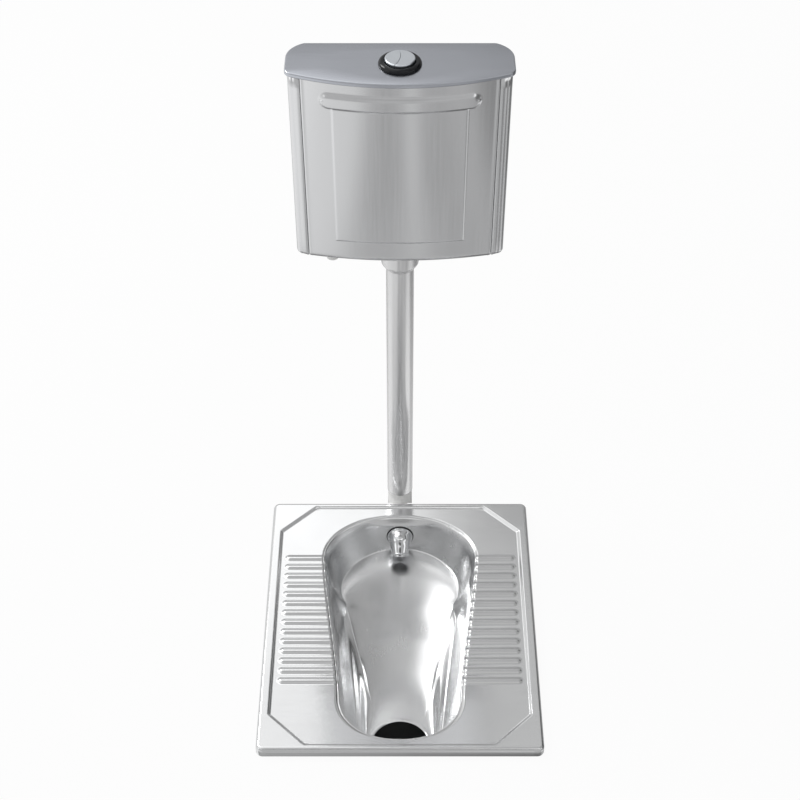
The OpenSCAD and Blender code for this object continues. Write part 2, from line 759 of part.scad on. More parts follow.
module coupling_seal() {
    pipe_r = pipe_d / 2;
    base_r = mix(pipe_r + fit_gap, coupling_r - 3, (coupling_cone - 9) / (coupling_cone - 5));
    color([0.12, 0.12, 0.12]) on_axis(coupling_bottom + coupling_cone - seal_step)
        rotate_extrude() polygon([
            [pipe_r + 0.1, 0], [base_r - 0.4, 0], [coupling_r - 3.4, seal_step],
            [coupling_r - 3.4, coupling_h - 12.4 - coupling_cone + seal_step],
            [valve_tail_d / 2 + 0.1, coupling_h - 12.4 - coupling_cone + seal_step],
            [valve_tail_d / 2 + 0.1, pipe_top + 0.4 - coupling_bottom - coupling_cone + seal_step],
            [pipe_r + 0.1, pipe_top + 0.2 - coupling_bottom - coupling_cone + seal_step]
        ]);
}

module valve_backnut() {
    color([0.9, 0.9, 0.9]) on_axis(cistern_z - 10) difference() {
        union() {
            cylinder(r = valve_tail_d / 2 + 9, h = 9.8, $fn = 8);
            translate([0, 0, 6]) cylinder(r = valve_tail_d / 2 + 9, h = 3.8);
        }
        translate([0, 0, -1]) cylinder(r = valve_tail_d / 2 + 0.1, h = 12);
    }
}

// ---- Cistern shell ----

function up_part(z) = (z - cistern_z) / cistern_h;
function half_width(z) = cistern_w / 2 - taper_side * (1 - up_part(z));
function bulge(z) = mix(bulge_bottom, bulge_top, up_part(z));
function front_y(x, z) =
    cistern_front_y + taper_front * (1 - up_part(z)) + bulge(z) * pow(x / half_width(z), 2);
// The bottom edges are rounded: how far the shell draws in near its foot.
function foot_in(z) =
    let (s = unit_part(1 - (z - cistern_z) / foot_round))
    foot_round * 0.75 * (1 - sqrt(1 - s * s * 0.98));

// The shell's right half in plan at z: from the front, round both corners, to the back.
function side_path(z, x_start) =
    let (w = half_width(z), r = front_corner_r, x1 = w - 0.625 * r,
         slope = atan(2 * bulge(z) * x1 / w / w),
         c = [x1 - r * sin(slope), front_y(x1, z) + r * cos(slope)],
         cb = [w - back_corner_r, wall_y - back_corner_r])
    concat(
        [for (i = [0:3]) let (x = mix(x_start, x1, i / 4)) [x, front_y(x, z)]],
        arc(c, r, slope - 90, 0, 6),
        [for (y = [c[1] + 20]) [c[0] + r, y]],
        arc(cb, back_corner_r, 0, 90, 10),
        [[back_half_w + fit_gap, wall_y]]
    );
function side_row(z, d) =
    [for (p = offset_path(side_path(z, front_half_w * half_width(z) / half_width(cistern_top)
        - seam_lap), -d - foot_in(z))) [p[0], min(p[1], wall_y - d), z]];

FOOT = [0, 0.12, 0.35, 0.65, 1];
function foot_levels() = [for (f = FOOT) cistern_z + foot_round * f];

module cistern_side_right() {
    levels = concat(foot_levels(), [mix(cistern_z, cistern_top, 0.5), cistern_top]);
    color([0.7, 0.7, 0.71])
        sheet_solid([for (z = levels) side_row(z, 0)],
                    [for (z = levels) side_row(z, cistern_sheet)]);
}

module cistern_side_left() {
    color([0.76, 0.77, 0.79]) mirror([1, 0, 0]) cistern_side_right();
}

// How far the pressed bar and field stand out of the front at x, z.
function stadium(x, z, l, h) = norm([max(0, abs(x) - (l - h) / 2), z]);
function emboss(x, z) =
    let (r = bar_h / 2, bar = ease((r - stadium(x, z - bar_z, bar_l, bar_h)) / (0.55 * r)),
         inside = min(field_half_w - abs(x), z - field_z, bar_z - z))
    bar_out * bar + field_out * ease(inside / 3) * (1 - bar);

// The front panel's columns and rows lie close together where the embossing rises.
function half_columns() = concat(
    [0, 0.35, 0.7],
    [for (d = [-4, -2, 0]) (field_half_w + d) / (bar_l / 2 - 14)],
    [1]
);
function front_columns() =
    let (inner = bar_l / 2 - 14,
         cols = concat([for (c = half_columns()) c * inner],
             [for (d = [4, 8, 11, 13, 15]) inner + d],
             [mix(inner + 15, front_half_w, 0.5), front_half_w]))
    concat([for (i = [len(cols) - 1:-1:1]) -cols[i]], cols);
function front_rows() = concat(
    foot_levels(),
    [field_z - 2, field_z, field_z + 1.5, field_z + 3, mix(field_z, bar_z, 0.33),
     mix(field_z, bar_z, 0.66)],
    [for (f = [-1.15, -1, -0.8, -0.62, -0.4, 0, 0.4, 0.62, 0.8, 1]) bar_z + bar_h / 2 * f],
    [cistern_top]
);

module cistern_front() {
    function row(z, d) =
        [for (x0 = front_columns())
            let (x = x0 * half_width(z) / half_width(cistern_top))
            [x, front_y(x, z) - panel_proud + d + foot_in(z) - emboss(x0, z), z]];
    color([0.68, 0.68, 0.69])
        sheet_solid([for (z = front_rows()) row(z, 0)],
                    [for (z = front_rows()) row(z, cistern_sheet)]);
}

module wall_holes(r) {
    for (sx = [-1, 1]) translate([sx * hole_x, wall_y + 1, hole_z]) rotate([90, 0, 0])
        cylinder(r = r, h = 20);
}

module cistern_back() {
    color([0.66, 0.66, 0.67]) difference() {
        translate([-back_half_w, wall_y - cistern_sheet, cistern_z])
            cube([2 * back_half_w, cistern_sheet, cistern_h]);
        wall_holes(hole_r);
    }
}

// A stiffening strip behind the wall screws.
module hanger_strip() {
    color([0.6, 0.6, 0.61]) difference() {
        translate([hanger_in - back_half_w, wall_y - cistern_sheet - hanger_t,
                   hole_z - hanger_h / 2])
            cube([2 * (back_half_w - hanger_in), hanger_t, hanger_h]);
        wall_holes(hole_r);
    }
}

// Plan of the shell at its foot, drawn in by d, as one closed outline.
function foot_outline(d) =
    let (half = offset_path(side_path(cistern_z, 20), -d - foot_in(cistern_z)),
         kept = [for (p = half) [p[0], min(p[1], wall_y - cistern_sheet - fit_gap)]])
    concat(kept, [for (p = reversed(kept)) [-p[0], p[1]]]);

module cistern_base() {
    open_half = front_half_w - taper_side - seam_lap - 2;
    color([0.62, 0.62, 0.63]) difference() {
        translate([0, 0, cistern_z]) linear_extrude(cistern_sheet) {
            polygon(foot_outline(cistern_sheet + fit_gap));
            intersection() {
                polygon(foot_outline(0));
                translate([-open_half, cistern_front_y]) square([2 * open_half, cistern_depth / 2]);
            }
        }
        on_axis(cistern_z - 1) cylinder(r = valve_tail_d / 2 + 0.5, h = 5);
        translate([-fill_x, fill_y, cistern_z - 1]) cylinder(r = shank_d / 2 + 1, h = 5);
    }
}

// ---- Lid ----

function lid_outline(d) =
    let (half = offset_path(side_path(cistern_top, 20), d),
         kept = [for (p = half) [p[0], min(p[1], wall_y)]])
    concat(kept, [for (p = reversed(kept)) [-p[0], p[1]]]);

module cistern_lid() {
    color([0.55, 0.57, 0.6]) difference() {
        translate([0, 0, lid_top - lid_lip]) linear_extrude(lid_lip) polygon(lid_outline(lid_over));
        translate([0, 0, lid_top - lid_lip - 1]) linear_extrude(lid_lip + 1 - cistern_sheet) {
            polygon(lid_outline(lid_over - cistern_sheet));
            translate([-back_half_w - 40, wall_y - 12]) square([2 * back_half_w + 80, 20]);
        }
        on_axis(lid_top - 10) cylinder(r = lid_hole_r, h = 20);
    }
}

// ---- Push buttons ----

module button_housing() {
    b = housing_bore_r;
    bezel_mid = b + 3;
    color([0.09, 0.1, 0.11]) difference() {
        on_axis(0) rotate_extrude() polygon(concat(
            [[0, housing_bottom], [housing_r, housing_bottom], [housing_r, lid_top],
             [bezel_d / 2, lid_top]],
            [for (a = [0:12:84]) [bezel_mid + (bezel_d / 2 - bezel_mid) * cos(a),
                                  lid_top + 1.2 + (bezel_h - 1.2) * sin(a)]],
            [for (a = [90:15:180]) [bezel_mid + (bezel_mid - b) * cos(a),
                                    lid_top + bezel_h - 2 + 2 * sin(a)]],
            [[b, housing_floor], [0, housing_floor]]
        ));
        for (sx = [-1, 1]) on_axis(housing_bottom - 1) translate([sx * push_rod_x, 0, 0])
            cylinder(r = push_rod_r + move_gap, h = 10);
    }
}

module housing_nut() {
    color([0.15, 0.15, 0.16]) on_axis(lid_under - 8) difference() {
        cylinder(r = housing_r + 6, h = 8);
        translate([0, 0, -1]) cylinder(r = housing_r + 0.1, h = 10);
        for (a = [0:45:315]) rotate([0, 0, a]) translate([housing_r + 4, -2, -1])
            cube([6, 4, 10]);
    }
}

// The curved gap between the buttons is a cylinder that stands to the left of their axis.
module divider(grow) {
    on_axis(button_base - 5) translate([-divide_r + 1, 8, 0])
        cylinder(r = divide_r + grow, h = 40, $fn = 128);
}

module button_disc() {
    r = button_d / 2;
    on_axis(0) rotate_extrude() polygon(concat(
        [[0, button_base], [r, button_base]],
        [for (p = arc([r - 2, button_top - 2.2], 2, 0, 78, 5)) p],
        [[0, button_top]]
    ));
}

module rod_socket(sx) {
    on_axis(button_base - 1) translate([sx * push_rod_x, 0, 0])
        cylinder(r = push_rod_r, h = 7);
}

module full_button() {
    color([0.75, 0.77, 0.8]) difference() {
        button_disc();
        divider(divide_gap / 2);
        rod_socket(1);
    }
}

module half_button() {
    color([0.75, 0.77, 0.8]) difference() {
        intersection() {
            button_disc();
            divider(-divide_gap / 2);
        }
        rod_socket(-1);
    }
}

module push_rod(sx) {
    on_axis(push_rod_end) translate([sx * push_rod_x, 0, 0])
        cylinder(r = push_rod_r, h = button_base + 6 - push_rod_end);
}
module full_push_rod() { color([0.88, 0.88, 0.86]) push_rod(1); }
module half_push_rod() { color([0.88, 0.88, 0.86]) push_rod(-1); }

// A return spring: one unbroken tube along a helix.
module coil_spring(length, coil_r, wire_r, turns) {
    steps = 12;
    sides = 6;
    rise = length - 2 * wire_r;
    rings = turns * steps;
    function centre(i) =
        [coil_r * cos(i * 360 / steps), coil_r * sin(i * 360 / steps), wire_r + rise * i / rings];
    function ring(i) =
        let (a = i * 360 / steps, outward = [cos(a), sin(a), 0])
        [for (j = [0:sides - 1])
            centre(i) + wire_r * (cos(j * 360 / sides) * outward + sin(j * 360 / sides) * [0, 0, 1])];
    points = [for (i = [0:rings]) each ring(i)];
    function at(i, j) = i * sides + j % sides;
    gaps = [for (i = [0:rings - steps / 2], k = [i + steps / 2:min(rings, i + 2 * steps)],
                 a = [0:sides - 1], b = [0:sides - 1]) norm(points[at(i, a)] - points[at(k, b)])];
    echo(str("Least gap between the turns of the spring, in mm: ", min(gaps)));
    polyhedron(points, concat(
        [for (i = [0:rings - 1], j = [0:sides - 1]) each
            [[at(i, j), at(i + 1, j), at(i + 1, j + 1)], [at(i, j), at(i + 1, j + 1), at(i, j + 1)]]],
        [[for (j = [0:sides - 1]) at(0, j)], [for (j = [sides - 1:-1:0]) at(rings, j)]]
    ), convexity = 8);
}

module button_spring(sx) {
    wire_r = 0.7;
    on_axis(housing_floor + 0.2) translate([sx * push_rod_x, 0, 0])
        coil_spring(button_base - housing_floor - 0.4, push_rod_r + wire_r + 1.2, wire_r,
            spring_turns);
}
module full_button_spring() { color([0.6, 0.6, 0.6]) button_spring(1); }
module half_button_spring() { color([0.6, 0.6, 0.6]) button_spring(-1); }

// ---- Flush valve ----

valve_tail_r = valve_tail_d / 2;
valve_bore_r = valve_tail_r - 4;
seat_r = valve_bore_r + 6;
overflow_r = overflow_d / 2;
post_r = 3;
post_at = valve_flange_d / 2 - post_r - 2;

module valve_washer() {
    color([0.1, 0.1, 0.1]) on_axis(floor_top)
        tube(valve_flange_d / 2 - 2, valve_tail_r + 0.1, washer_t);
}

module valve_base() {
    color([0.92, 0.92, 0.9]) on_axis(0) rotate_extrude() polygon([
        [valve_bore_r, valve_tail_end], [valve_tail_r, valve_tail_end],
        [valve_tail_r, valve_flange_z], [valve_flange_d / 2, valve_flange_z],
        [valve_flange_d / 2, valve_seat_z], [seat_r, valve_seat_z],
        [seat_r - 2, valve_seat_z + valve_seat_h], [seat_r - 4, valve_seat_z + valve_seat_h],
        [valve_bore_r, valve_seat_z]
    ]);
}

// Posts, head plate and the cheeks that hold the levers' pins.
module valve_cage() {
    color([0.9, 0.9, 0.92]) {
        on_axis(valve_seat_z) for (a = [45:90:315]) rotate([0, 0, a]) translate([post_at, 0, 0])
            cylinder(r = post_r, h = cage_h);
        on_axis(cage_z) difference() {
            cylinder(r = valve_flange_d / 2 - 1, h = cage_plate);
            translate([0, 0, -1]) cylinder(r = overflow_r + 0.8, h = cage_plate + 2);
        }
        for (turn = [0, 180]) on_axis(cage_z + cage_plate) rotate([0, 0, turn])
            for (y = [-lever_y - 5.3, -lever_y + 3.3]) difference() {
                translate([lever_pivot_x - 4, y, 0]) cube([8, 2, pivot_up + 4]);
                translate([lever_pivot_x, y - 1, pivot_up]) rotate([-90, 0, 0])
                    cylinder(r = lever_pin_r, h = 4);
            }
    }
}

module lever_pins() {
    color([0.7, 0.7, 0.7]) for (turn = [0, 180]) on_axis(pivot_z) rotate([0, 0, turn])
        translate([lever_pivot_x, -lever_y - 5.8, 0]) rotate([-90, 0, 0])
            cylinder(r = lever_pin_r, h = 11.6);
}

// A rocker: its pad is pushed down by the rod, and its other end lifts the piston.
module lever() {
    difference() {
        translate([0, 0, -lever_t / 2]) linear_extrude(lever_t) {
            translate([-lever_tip, -lever_y - lever_t / 2]) square([lever_tip + push_rod_x, lever_t]);
            translate([push_rod_x - push_rod_r - 1, -lever_y - lever_t / 2])
                square([2 * push_rod_r + 1.5, lever_y + lever_t / 2 + push_rod_r + 0.5]);
        }
        translate([lever_pivot_x, -lever_y - 5, 0]) rotate([-90, 0, 0])
            cylinder(r = lever_pin_r + pin_play, h = 10);
    }
}
module full_lever() { color([0.2, 0.45, 0.75]) on_axis(pivot_z) lever(); }
module half_lever() { color([0.35, 0.65, 0.4]) on_axis(pivot_z) rotate([0, 0, 180]) lever(); }

// The overflow tube is the valve's piston: a disc at its foot, and near its mouth a tongue that
// the full-flush lever lifts, with a stop ring for the half-flush collar above it.
module valve_piston() {
    top = cage_z + overflow_up;
    color([0.93, 0.93, 0.93]) on_axis(0) difference() {
        union() {
            translate([0, 0, disc_z]) cylinder(r = seat_r + 1, h = 3);
            translate([0, 0, disc_z - seal_t - 3]) cylinder(r = overflow_r, h = top - disc_z + seal_t + 3);
            translate([1 - lever_tip, -lever_y - 3, yoke_z]) cube([lever_tip, lever_y + 3, yoke_t]);
            translate([0, 0, collar_z + collar_t + piston_lift + move_gap])
                cylinder(r = overflow_r + 3, h = 3);
        }
        translate([0, 0, disc_z - 10]) cylinder(r = overflow_r - 2, h = top);
    }
}

module seal_ring() {
    color([0.75, 0.25, 0.2]) on_axis(disc_z - seal_t)
        tube(seat_r + 0.5, overflow_r + 0.05, seal_t);
}

module piston_float() {
    color([0.95, 0.95, 0.95]) on_axis(disc_z + 60) tube(seat_r - 4, overflow_r + 0.05, 40);
}

// A collar that the half-flush lever lifts along the overflow tube.
module half_lift_collar() {
    leg_y = overflow_r + move_gap;
    color([0.35, 0.65, 0.4]) on_axis(0) difference() {
        union() {
            translate([0, 0, collar_z]) cylinder(r = overflow_r + 4, h = collar_t);
            translate([-1, leg_y, yoke_z])
                cube([lever_tip, lever_y + 3 - leg_y, collar_z + collar_t - yoke_z]);
        }
        translate([0, 0, collar_z - 1]) cylinder(r = overflow_r + move_gap, h = collar_t + 2);
    }
}

// ---- Fill valve ----

module on_fill(z) {
    translate([-fill_x, fill_y, z]) children();
}

shank_thick = shank_d / 2 + 0.5;
fill_nut_t = 11;

module fill_valve_body() {
    free_top = cistern_z - fill_nut_t - 1;
    color([0.93, 0.93, 0.93]) difference() {
        union() {
            on_fill(free_top - shank_l) cylinder(r = shank_d / 2, h = shank_l);
            on_fill(free_top)
                cylinder(r = shank_thick, h = floor_top + fill_washer_t - free_top);
            on_fill(floor_top + fill_washer_t) cylinder(r = fill_flange_r, h = fill_flange_t);
            on_fill(floor_top + fill_washer_t) cylinder(r = fill_foot_r, h = fill_foot_h);
            on_fill(floor_top + fill_washer_t) cylinder(r = column_r, h = fill_h - fill_head_drop);
            on_fill(arm_z - fill_head_drop) cylinder(r = fill_head_r, h = fill_head_h);
            for (sy = [-1, 1]) on_fill(arm_z - ear_h / 2)
                translate([0, sy * (slot_w + ear_t) / 2 - ear_t / 2, 0])
                    cube([arm_pivot_x + ear_l, ear_t, ear_h]);
        }
        on_fill(free_top - shank_l - 1) cylinder(r = fill_bore_r, h = fill_h);
        on_fill(arm_z) translate([arm_pivot_x, slot_w, 0]) rotate([90, 0, 0])
            cylinder(r = lever_pin_r, h = 2 * slot_w);
        on_fill(arm_z - ear_h) translate([arm_pivot_x - ear_l, -slot_w / 2, 0])
            cube([2 * ear_l + 2, slot_w, 2 * ear_h + fill_head_h]);
    }
}

module fill_valve_washer() {
    color([0.1, 0.1, 0.1]) on_fill(floor_top)
        tube(fill_flange_r - 1, shank_thick + 0.1, fill_washer_t);
}

module fill_valve_nut() {
    color([0.9, 0.9, 0.9]) on_fill(cistern_z - fill_nut_t) difference() {
        union() {
            cylinder(r = 17, h = fill_nut_t - 3, $fn = 6);
            cylinder(r = 14, h = fill_nut_t - fit_gap);
        }
        translate([0, 0, -1]) cylinder(r = shank_thick + 0.1, h = fill_nut_t + 2);
    }
}

// A cup that is open below, with an ear for the link.
module fill_float() {
    r = float_d / 2;
    color([0.85, 0.87, 0.88]) on_fill(float_z) difference() {
        union() {
            cylinder(r = r, h = float_h);
            translate([r - 3, -4, float_h - 6]) cube([link_x - r + 7, 8, 6]);
        }
        translate([0, 0, -1]) cylinder(r = column_r + move_gap, h = float_h + 2);
        translate([0, 0, -1]) tube(r - 2, column_r + 2.5, float_h - 2);
        translate([link_x, 0, float_h - 10]) cylinder(r = 1.5, h = 20);
    }
}

module float_link() {
    low = float_z + float_h - 6;
    eye_z = arm_z + float_arm_l * sin(arm_start);
    color([0.75, 0.75, 0.75]) on_fill(0) translate([link_x, 0, 0]) {
        translate([0, 0, low]) cylinder(r = 1.5, h = eye_z + 8 - low);
        translate([0, 0, eye_z + 3.4]) tube(3.6, 1.5, 2.4);
        translate([0, 0, eye_z - 5.8]) tube(3.6, 1.5, 2.4);
        translate([0, 0, low + 6]) tube(3.6, 1.5, 2.4);
    }
}

module float_arm() {
    color([0.3, 0.3, 0.32]) on_fill(arm_z) translate([arm_pivot_x, 0, 0])
        rotate([0, -arm_start, 0]) difference() {
            union() {
                translate([-3, -3.5, -2]) cube([float_arm_l, 7, 4]);
                rotate([90, 0, 0]) cylinder(r = 3.4, h = 7, center = true);
                translate([float_arm_l, 0, -2]) cylinder(r = 6, h = 4);
            }
            rotate([90, 0, 0]) cylinder(r = lever_pin_r + pin_play, h = 10, center = true);
            translate([float_arm_l, 0, -5]) cylinder(r = 3.6, h = 10);
        }
}

module arm_pin() {
    color([0.7, 0.7, 0.7]) on_fill(arm_z) translate([arm_pivot_x, 7, 0]) rotate([90, 0, 0])
        cylinder(r = lever_pin_r, h = 14);
}

pan_deck();
pan_bowl();
waste_spigot();
fixing_lugs();
flush_nozzle();
nozzle_gasket();
nozzle_locknut();
inlet_sleeve();
flush_bend();
flush_pipe();
coupling_nut();
coupling_seal();
valve_backnut();
valve_washer();
valve_base();
valve_cage();
lever_pins();
full_lever();
half_lever();
valve_piston();
seal_ring();
piston_float();
half_lift_collar();
cistern_front();
cistern_side_right();
cistern_side_left();
cistern_back();
cistern_base();
hanger_strip();
cistern_lid();
button_housing();
housing_nut();
full_button();
half_button();
full_push_rod();
half_push_rod();
full_button_spring();
half_button_spring();
fill_valve_body();
fill_valve_washer();
fill_valve_nut();
fill_float();
float_link();
float_arm();
arm_pin();
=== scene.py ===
"""Dresses the squat toilet: pressed pan and bowl, flush pipe, and the wall-hung cistern with its buttons."""

import json
import math

import bmesh
import bpy
import numpy as np
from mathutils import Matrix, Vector


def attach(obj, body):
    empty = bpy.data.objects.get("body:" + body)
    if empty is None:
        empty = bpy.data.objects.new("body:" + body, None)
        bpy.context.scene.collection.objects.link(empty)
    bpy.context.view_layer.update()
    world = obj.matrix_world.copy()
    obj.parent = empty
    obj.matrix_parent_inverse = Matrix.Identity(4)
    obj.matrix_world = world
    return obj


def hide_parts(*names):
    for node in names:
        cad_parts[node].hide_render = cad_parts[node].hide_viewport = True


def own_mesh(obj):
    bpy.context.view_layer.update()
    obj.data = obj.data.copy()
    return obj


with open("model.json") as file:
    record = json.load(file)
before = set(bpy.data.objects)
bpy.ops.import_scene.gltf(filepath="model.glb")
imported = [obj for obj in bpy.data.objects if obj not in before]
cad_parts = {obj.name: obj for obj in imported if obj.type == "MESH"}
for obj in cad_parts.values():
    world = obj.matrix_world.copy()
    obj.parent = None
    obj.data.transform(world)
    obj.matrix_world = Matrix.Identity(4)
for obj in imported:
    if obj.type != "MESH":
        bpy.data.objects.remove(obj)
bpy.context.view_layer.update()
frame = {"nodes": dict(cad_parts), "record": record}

MM = 0.001

# ------------------------ sizes, in millimetres

# Pan: half-width, half-length and top, the corners' radius in plan, and the radius along the top edge
PAN_HALF_W, PAN_HALF_L, PAN_TOP = 250.0, 300.0, 20.0
PAN_CORNER, PAN_EDGE, PAN_SHEET = 12.0, 6.0, 1.5
# Dressed sheets are this much thinner than the solids' walls
THINNER = 0.05
# The octagonal platform inside the border
OCT_HALF_W, OCT_HALF_L, OCT_CUT = 231.0, 288.0, 65.0
PLATFORM = PAN_TOP - 3.5
# Foot ribs: the rearmost one's place, a rib's reach from its middle line, and the centre of its round end
RIB_COUNT, RIB_PITCH, RIB_REAR_Y = 14, 23.0, 153.0
RIB_REACH, RIB_HEIGHT, RIB_END_X = 8.2, 2.9, 212.5
# The bowl's rim: its ends, and its end arcs and half-widths, each at the back and at the front
RIM_BACK, RIM_FRONT = 265.0, -272.0
RIM_ARCS, RIM_HALVES = (110.0, 92.0), (143.0, 106.0)
FILLET = 4.5
# The edge of the bowl's floor, likewise, and the two shoulders pressed into it
EDGE_BACK, EDGE_FRONT = RIM_BACK - 12.0, RIM_FRONT + 28.0
EDGE_ARCS, EDGE_HALVES = (102.0, 75.0), (115.0, 78.0)
SHOULDER_Y, SHOULDER_L, SHOULDER_IN = 106.0, 17.0, 9.0
# The bowl's floor: its depth at the back and at the outlet, how it falls, and how far it rises to its edge
SHELF, DEEP, FALL_POWER = 82.0, 150.0, 1.15
FLOOR_RISE, RISE_RUN = 22.0, 155.0
OUTLET_Y, OUTLET_Z, OUTLET_R, LAND_R = -178.0, PAN_TOP - DEEP, 54.2, 61.2
# Flush nozzle, from the flat seat on the bowl's back wall
SEAT_Y, NOZZLE_Z, ELBOW_OUT, SPOUT_TILT = EDGE_BACK, -26.5, 12.0, 35.0
COLLAR_R, TAIL_R, TAIL_L, ELBOW_R = 25.0, 18.5, 39.0, 20.2
TAIL_BORE_R, ELBOW_BORE_R, SPOUT_BORE_R = 13.8, 15.2, 14.5
# Flush pipe, its axis, and the wall behind it
AXIS_Y = PAN_HALF_L + 44.0
WALL_Y = AXIS_Y + 68.0
PIPE_R, PIPE_BORE_R, PIPE_LOW, PIPE_HIGH = 25.0, 24.2, 20.0, 597.0
CUP_R, CUP_LOW, CUP_H = 33.5, 577.0, 36.0
# Cistern
TANK_LOW, TANK_H, TANK_SHEET = 625.0, 361.0, 1.2
TANK_TOP = TANK_LOW + TANK_H
TANK_HALF_W, TANK_FRONT_Y = 184.0, WALL_Y - 129.0
TAPER_SIDE, TAPER_FRONT = 5.0, 8.0
BULGE_LOW, BULGE_TOP = 22.0, 38.0
FOOT_ROUND, FOOT_IN = 8.0, 6.0
FRONT_CORNER_R, BACK_CORNER_R, BACK_EDGE_X = 12.0, 45.0, 129.3
# The front sheet lies this far on the side sheets, which run on behind it. Its folded edge ends at the seam.
PANEL_PROUD, SEAM_LAP = 1.4, 8.0
SEAM_X, FRONT_EDGE, FOLD_BACK = 163.0, 158.6, 2.3
# The bar and the field pressed into the front sheet
BAR_Z, BAR_HALF_L, BAR_R, BAR_OUT = 947.0, 134.0, 16.0, 4.5
FIELD_Z, FIELD_HALF, FIELD_OUT = 666.0, 113.0, 1.4
# Lid, its folded edge, and its hole for the buttons
LID_TOP, LID_OVER, LID_LIP, LID_ROUND = TANK_TOP + 1.5, 4.4, 7.5, 2.3
HOUSING_HOLE_R = 29.0
# Push rods and their holes in the housing's floor
ROD_X, ROD_HOLE_R = 20.0, 3.0


# ------------------------ small tools


def mix(a, b, s):
    """From a to b by the share s."""
    return a + (b - a) * s


def ease(s):
    """A soft step from 0 to 1."""
    s = np.clip(s, 0.0, 1.0)
    return s * s * (3 - 2 * s)


def through(knots, count):
    """A smooth curve through 2-D knots, at count points."""
    k = np.asarray(knots, float)
    k = np.vstack([2 * k[0] - k[1], k, 2 * k[-1] - k[-2]])
    out = []
    for u in np.linspace(0, len(knots) - 1, count):
        i = min(int(u), len(knots) - 2)
        f = u - i
        a, b, c, d = k[i : i + 4]
        bend, twist = 2 * a - 5 * b + 4 * c - d, 3 * b - a - 3 * c + d
        out.append(0.5 * (2 * b + (c - a) * f + bend * f**2 + twist * f**3))
    return np.array(out)


def new_object(name, verts, faces, smooth=True):
    mesh = bpy.data.meshes.new(name)
    mesh.from_pydata([tuple(v) for v in np.asarray(verts) * MM], [], faces)
    mesh.polygons.foreach_set("use_smooth", [smooth] * len(mesh.polygons))
    mesh.update()
    obj = bpy.data.objects.new(name, mesh)
    bpy.context.scene.collection.objects.link(obj)
    return obj


def grid_faces(rows, cols, wrap_cols=False, wrap_rows=False):
    faces = []
    for r in range(rows if wrap_rows else rows - 1):
        for c in range(cols if wrap_cols else cols - 1):
            r1, c1 = (r + 1) % rows, (c + 1) % cols
            faces.append((r * cols + c, r * cols + c1, r1 * cols + c1, r1 * cols + c))
    return faces


def recalculated(obj):
    """Merges doubles and turns the faces of a closed piece outwards."""
    bm = bmesh.new()
    bm.from_mesh(obj.data)
    bmesh.ops.remove_doubles(bm, verts=bm.verts, dist=1e-6)
    bmesh.ops.recalc_face_normals(bm, faces=bm.faces)
    bm.to_mesh(obj.data)
    bm.free()
    return obj


def sheet_piece(name, grid, wrap=False, flip=False):
    """An open sheet from a grid of points: rows x columns x 3."""
    rows, cols, _ = grid.shape
    faces = grid_faces(rows, cols, wrap_cols=wrap)
    if flip:
        faces = [f[::-1] for f in faces]
    return new_object(name, grid.reshape(-1, 3), faces)


def ring_piece(name, rows):
    """A closed ring-shaped piece: loops of equal length that close on themselves both ways."""
    grid = np.array(rows)
    faces = grid_faces(len(grid), grid.shape[1], wrap_cols=True, wrap_rows=True)
    return recalculated(new_object(name, grid.reshape(-1, 3), faces))


def lathe(name, profile, centre, segments=96, turn=None):
    """Turns a closed profile of (radius, height) about an axis through centre, in mm."""
    a = np.linspace(0, 2 * math.pi, segments, endpoint=False)
    rows = []
    for r, z in profile:
        rows.append(np.stack([r * np.cos(a), r * np.sin(a), np.full(segments, float(z))], axis=1))
    grid = np.array(rows)
    if turn is not None:
        grid = grid @ np.asarray(turn).T
    grid = grid + np.asarray(centre, float)
    return ring_piece(name, grid)


def corner_arc(c, r, a0, a1, n):
    """Points along an arc about c, from one angle to another."""
    a = np.radians(np.linspace(a0, a1, n))
    return [(c[0] + r * math.cos(t), c[1] + r * math.sin(t)) for t in a]


def inset(outline, d):
    """A closed counter-clockwise outline moved inwards by d."""
    p = np.asarray(outline, float)
    a, b = np.roll(p, 1, axis=0), np.roll(p, -1, axis=0)
    u = p - a
    v = b - p
    u /= np.linalg.norm(u, axis=1)[:, None]
    v /= np.linalg.norm(v, axis=1)[:, None]
    nu, nv = np.stack([-u[:, 1], u[:, 0]], 1), np.stack([-v[:, 1], v[:, 0]], 1)
    n = nu + nv
    n /= np.maximum(1e-6, np.linalg.norm(n, axis=1))[:, None]
    scale = 1 / np.maximum(0.5, (n * nu).sum(axis=1))
    return p + n * (d * scale)[:, None]


def baked(obj):
    """Applies the modifiers of obj."""
    graph = bpy.context.evaluated_depsgraph_get()
    graph.update()
    mesh = bpy.data.meshes.new_from_object(obj.evaluated_get(graph))
    old = obj.data
    obj.modifiers.clear()
    obj.data = mesh
    bpy.data.meshes.remove(old)
    return obj


def thickened(obj, thickness):
    """Gives a sheet its wall, behind the face that shows."""
    wall = obj.modifiers.new("sheet", "SOLIDIFY")
    wall.thickness = thickness * MM
    wall.offset = -1
    return obj


def sharpened(obj, degrees):
    """Keeps folds sharper than this as edges in the shading."""
    mesh = obj.data
    bm = bmesh.new()
    bm.from_mesh(mesh)
    limit = math.radians(degrees)
    for e in bm.edges:
        e.smooth = len(e.link_faces) != 2 or e.calc_face_angle(0.0) < limit
    bm.to_mesh(mesh)
    bm.free()
    return obj


# ------------------------ node trees


def put(tree, kind, **sets):
    """Adds a node and sets its properties."""
    node = tree.nodes.new(kind)
    for key, value in sets.items():
        setattr(node, key, value)
    return node


def feed(tree, socket, value):
    """Links a socket to a socket, or sets it to a value."""
    if isinstance(value, bpy.types.NodeSocket):
        tree.links.new(value, socket)
    else:
        socket.default_value = value


def calc(tree, operation, *values):
    """The output of a Math node."""
    node = put(tree, "ShaderNodeMath", operation=operation)
    for socket, value in zip(node.inputs, values):
        feed(tree, socket, value)
    return node.outputs[0]


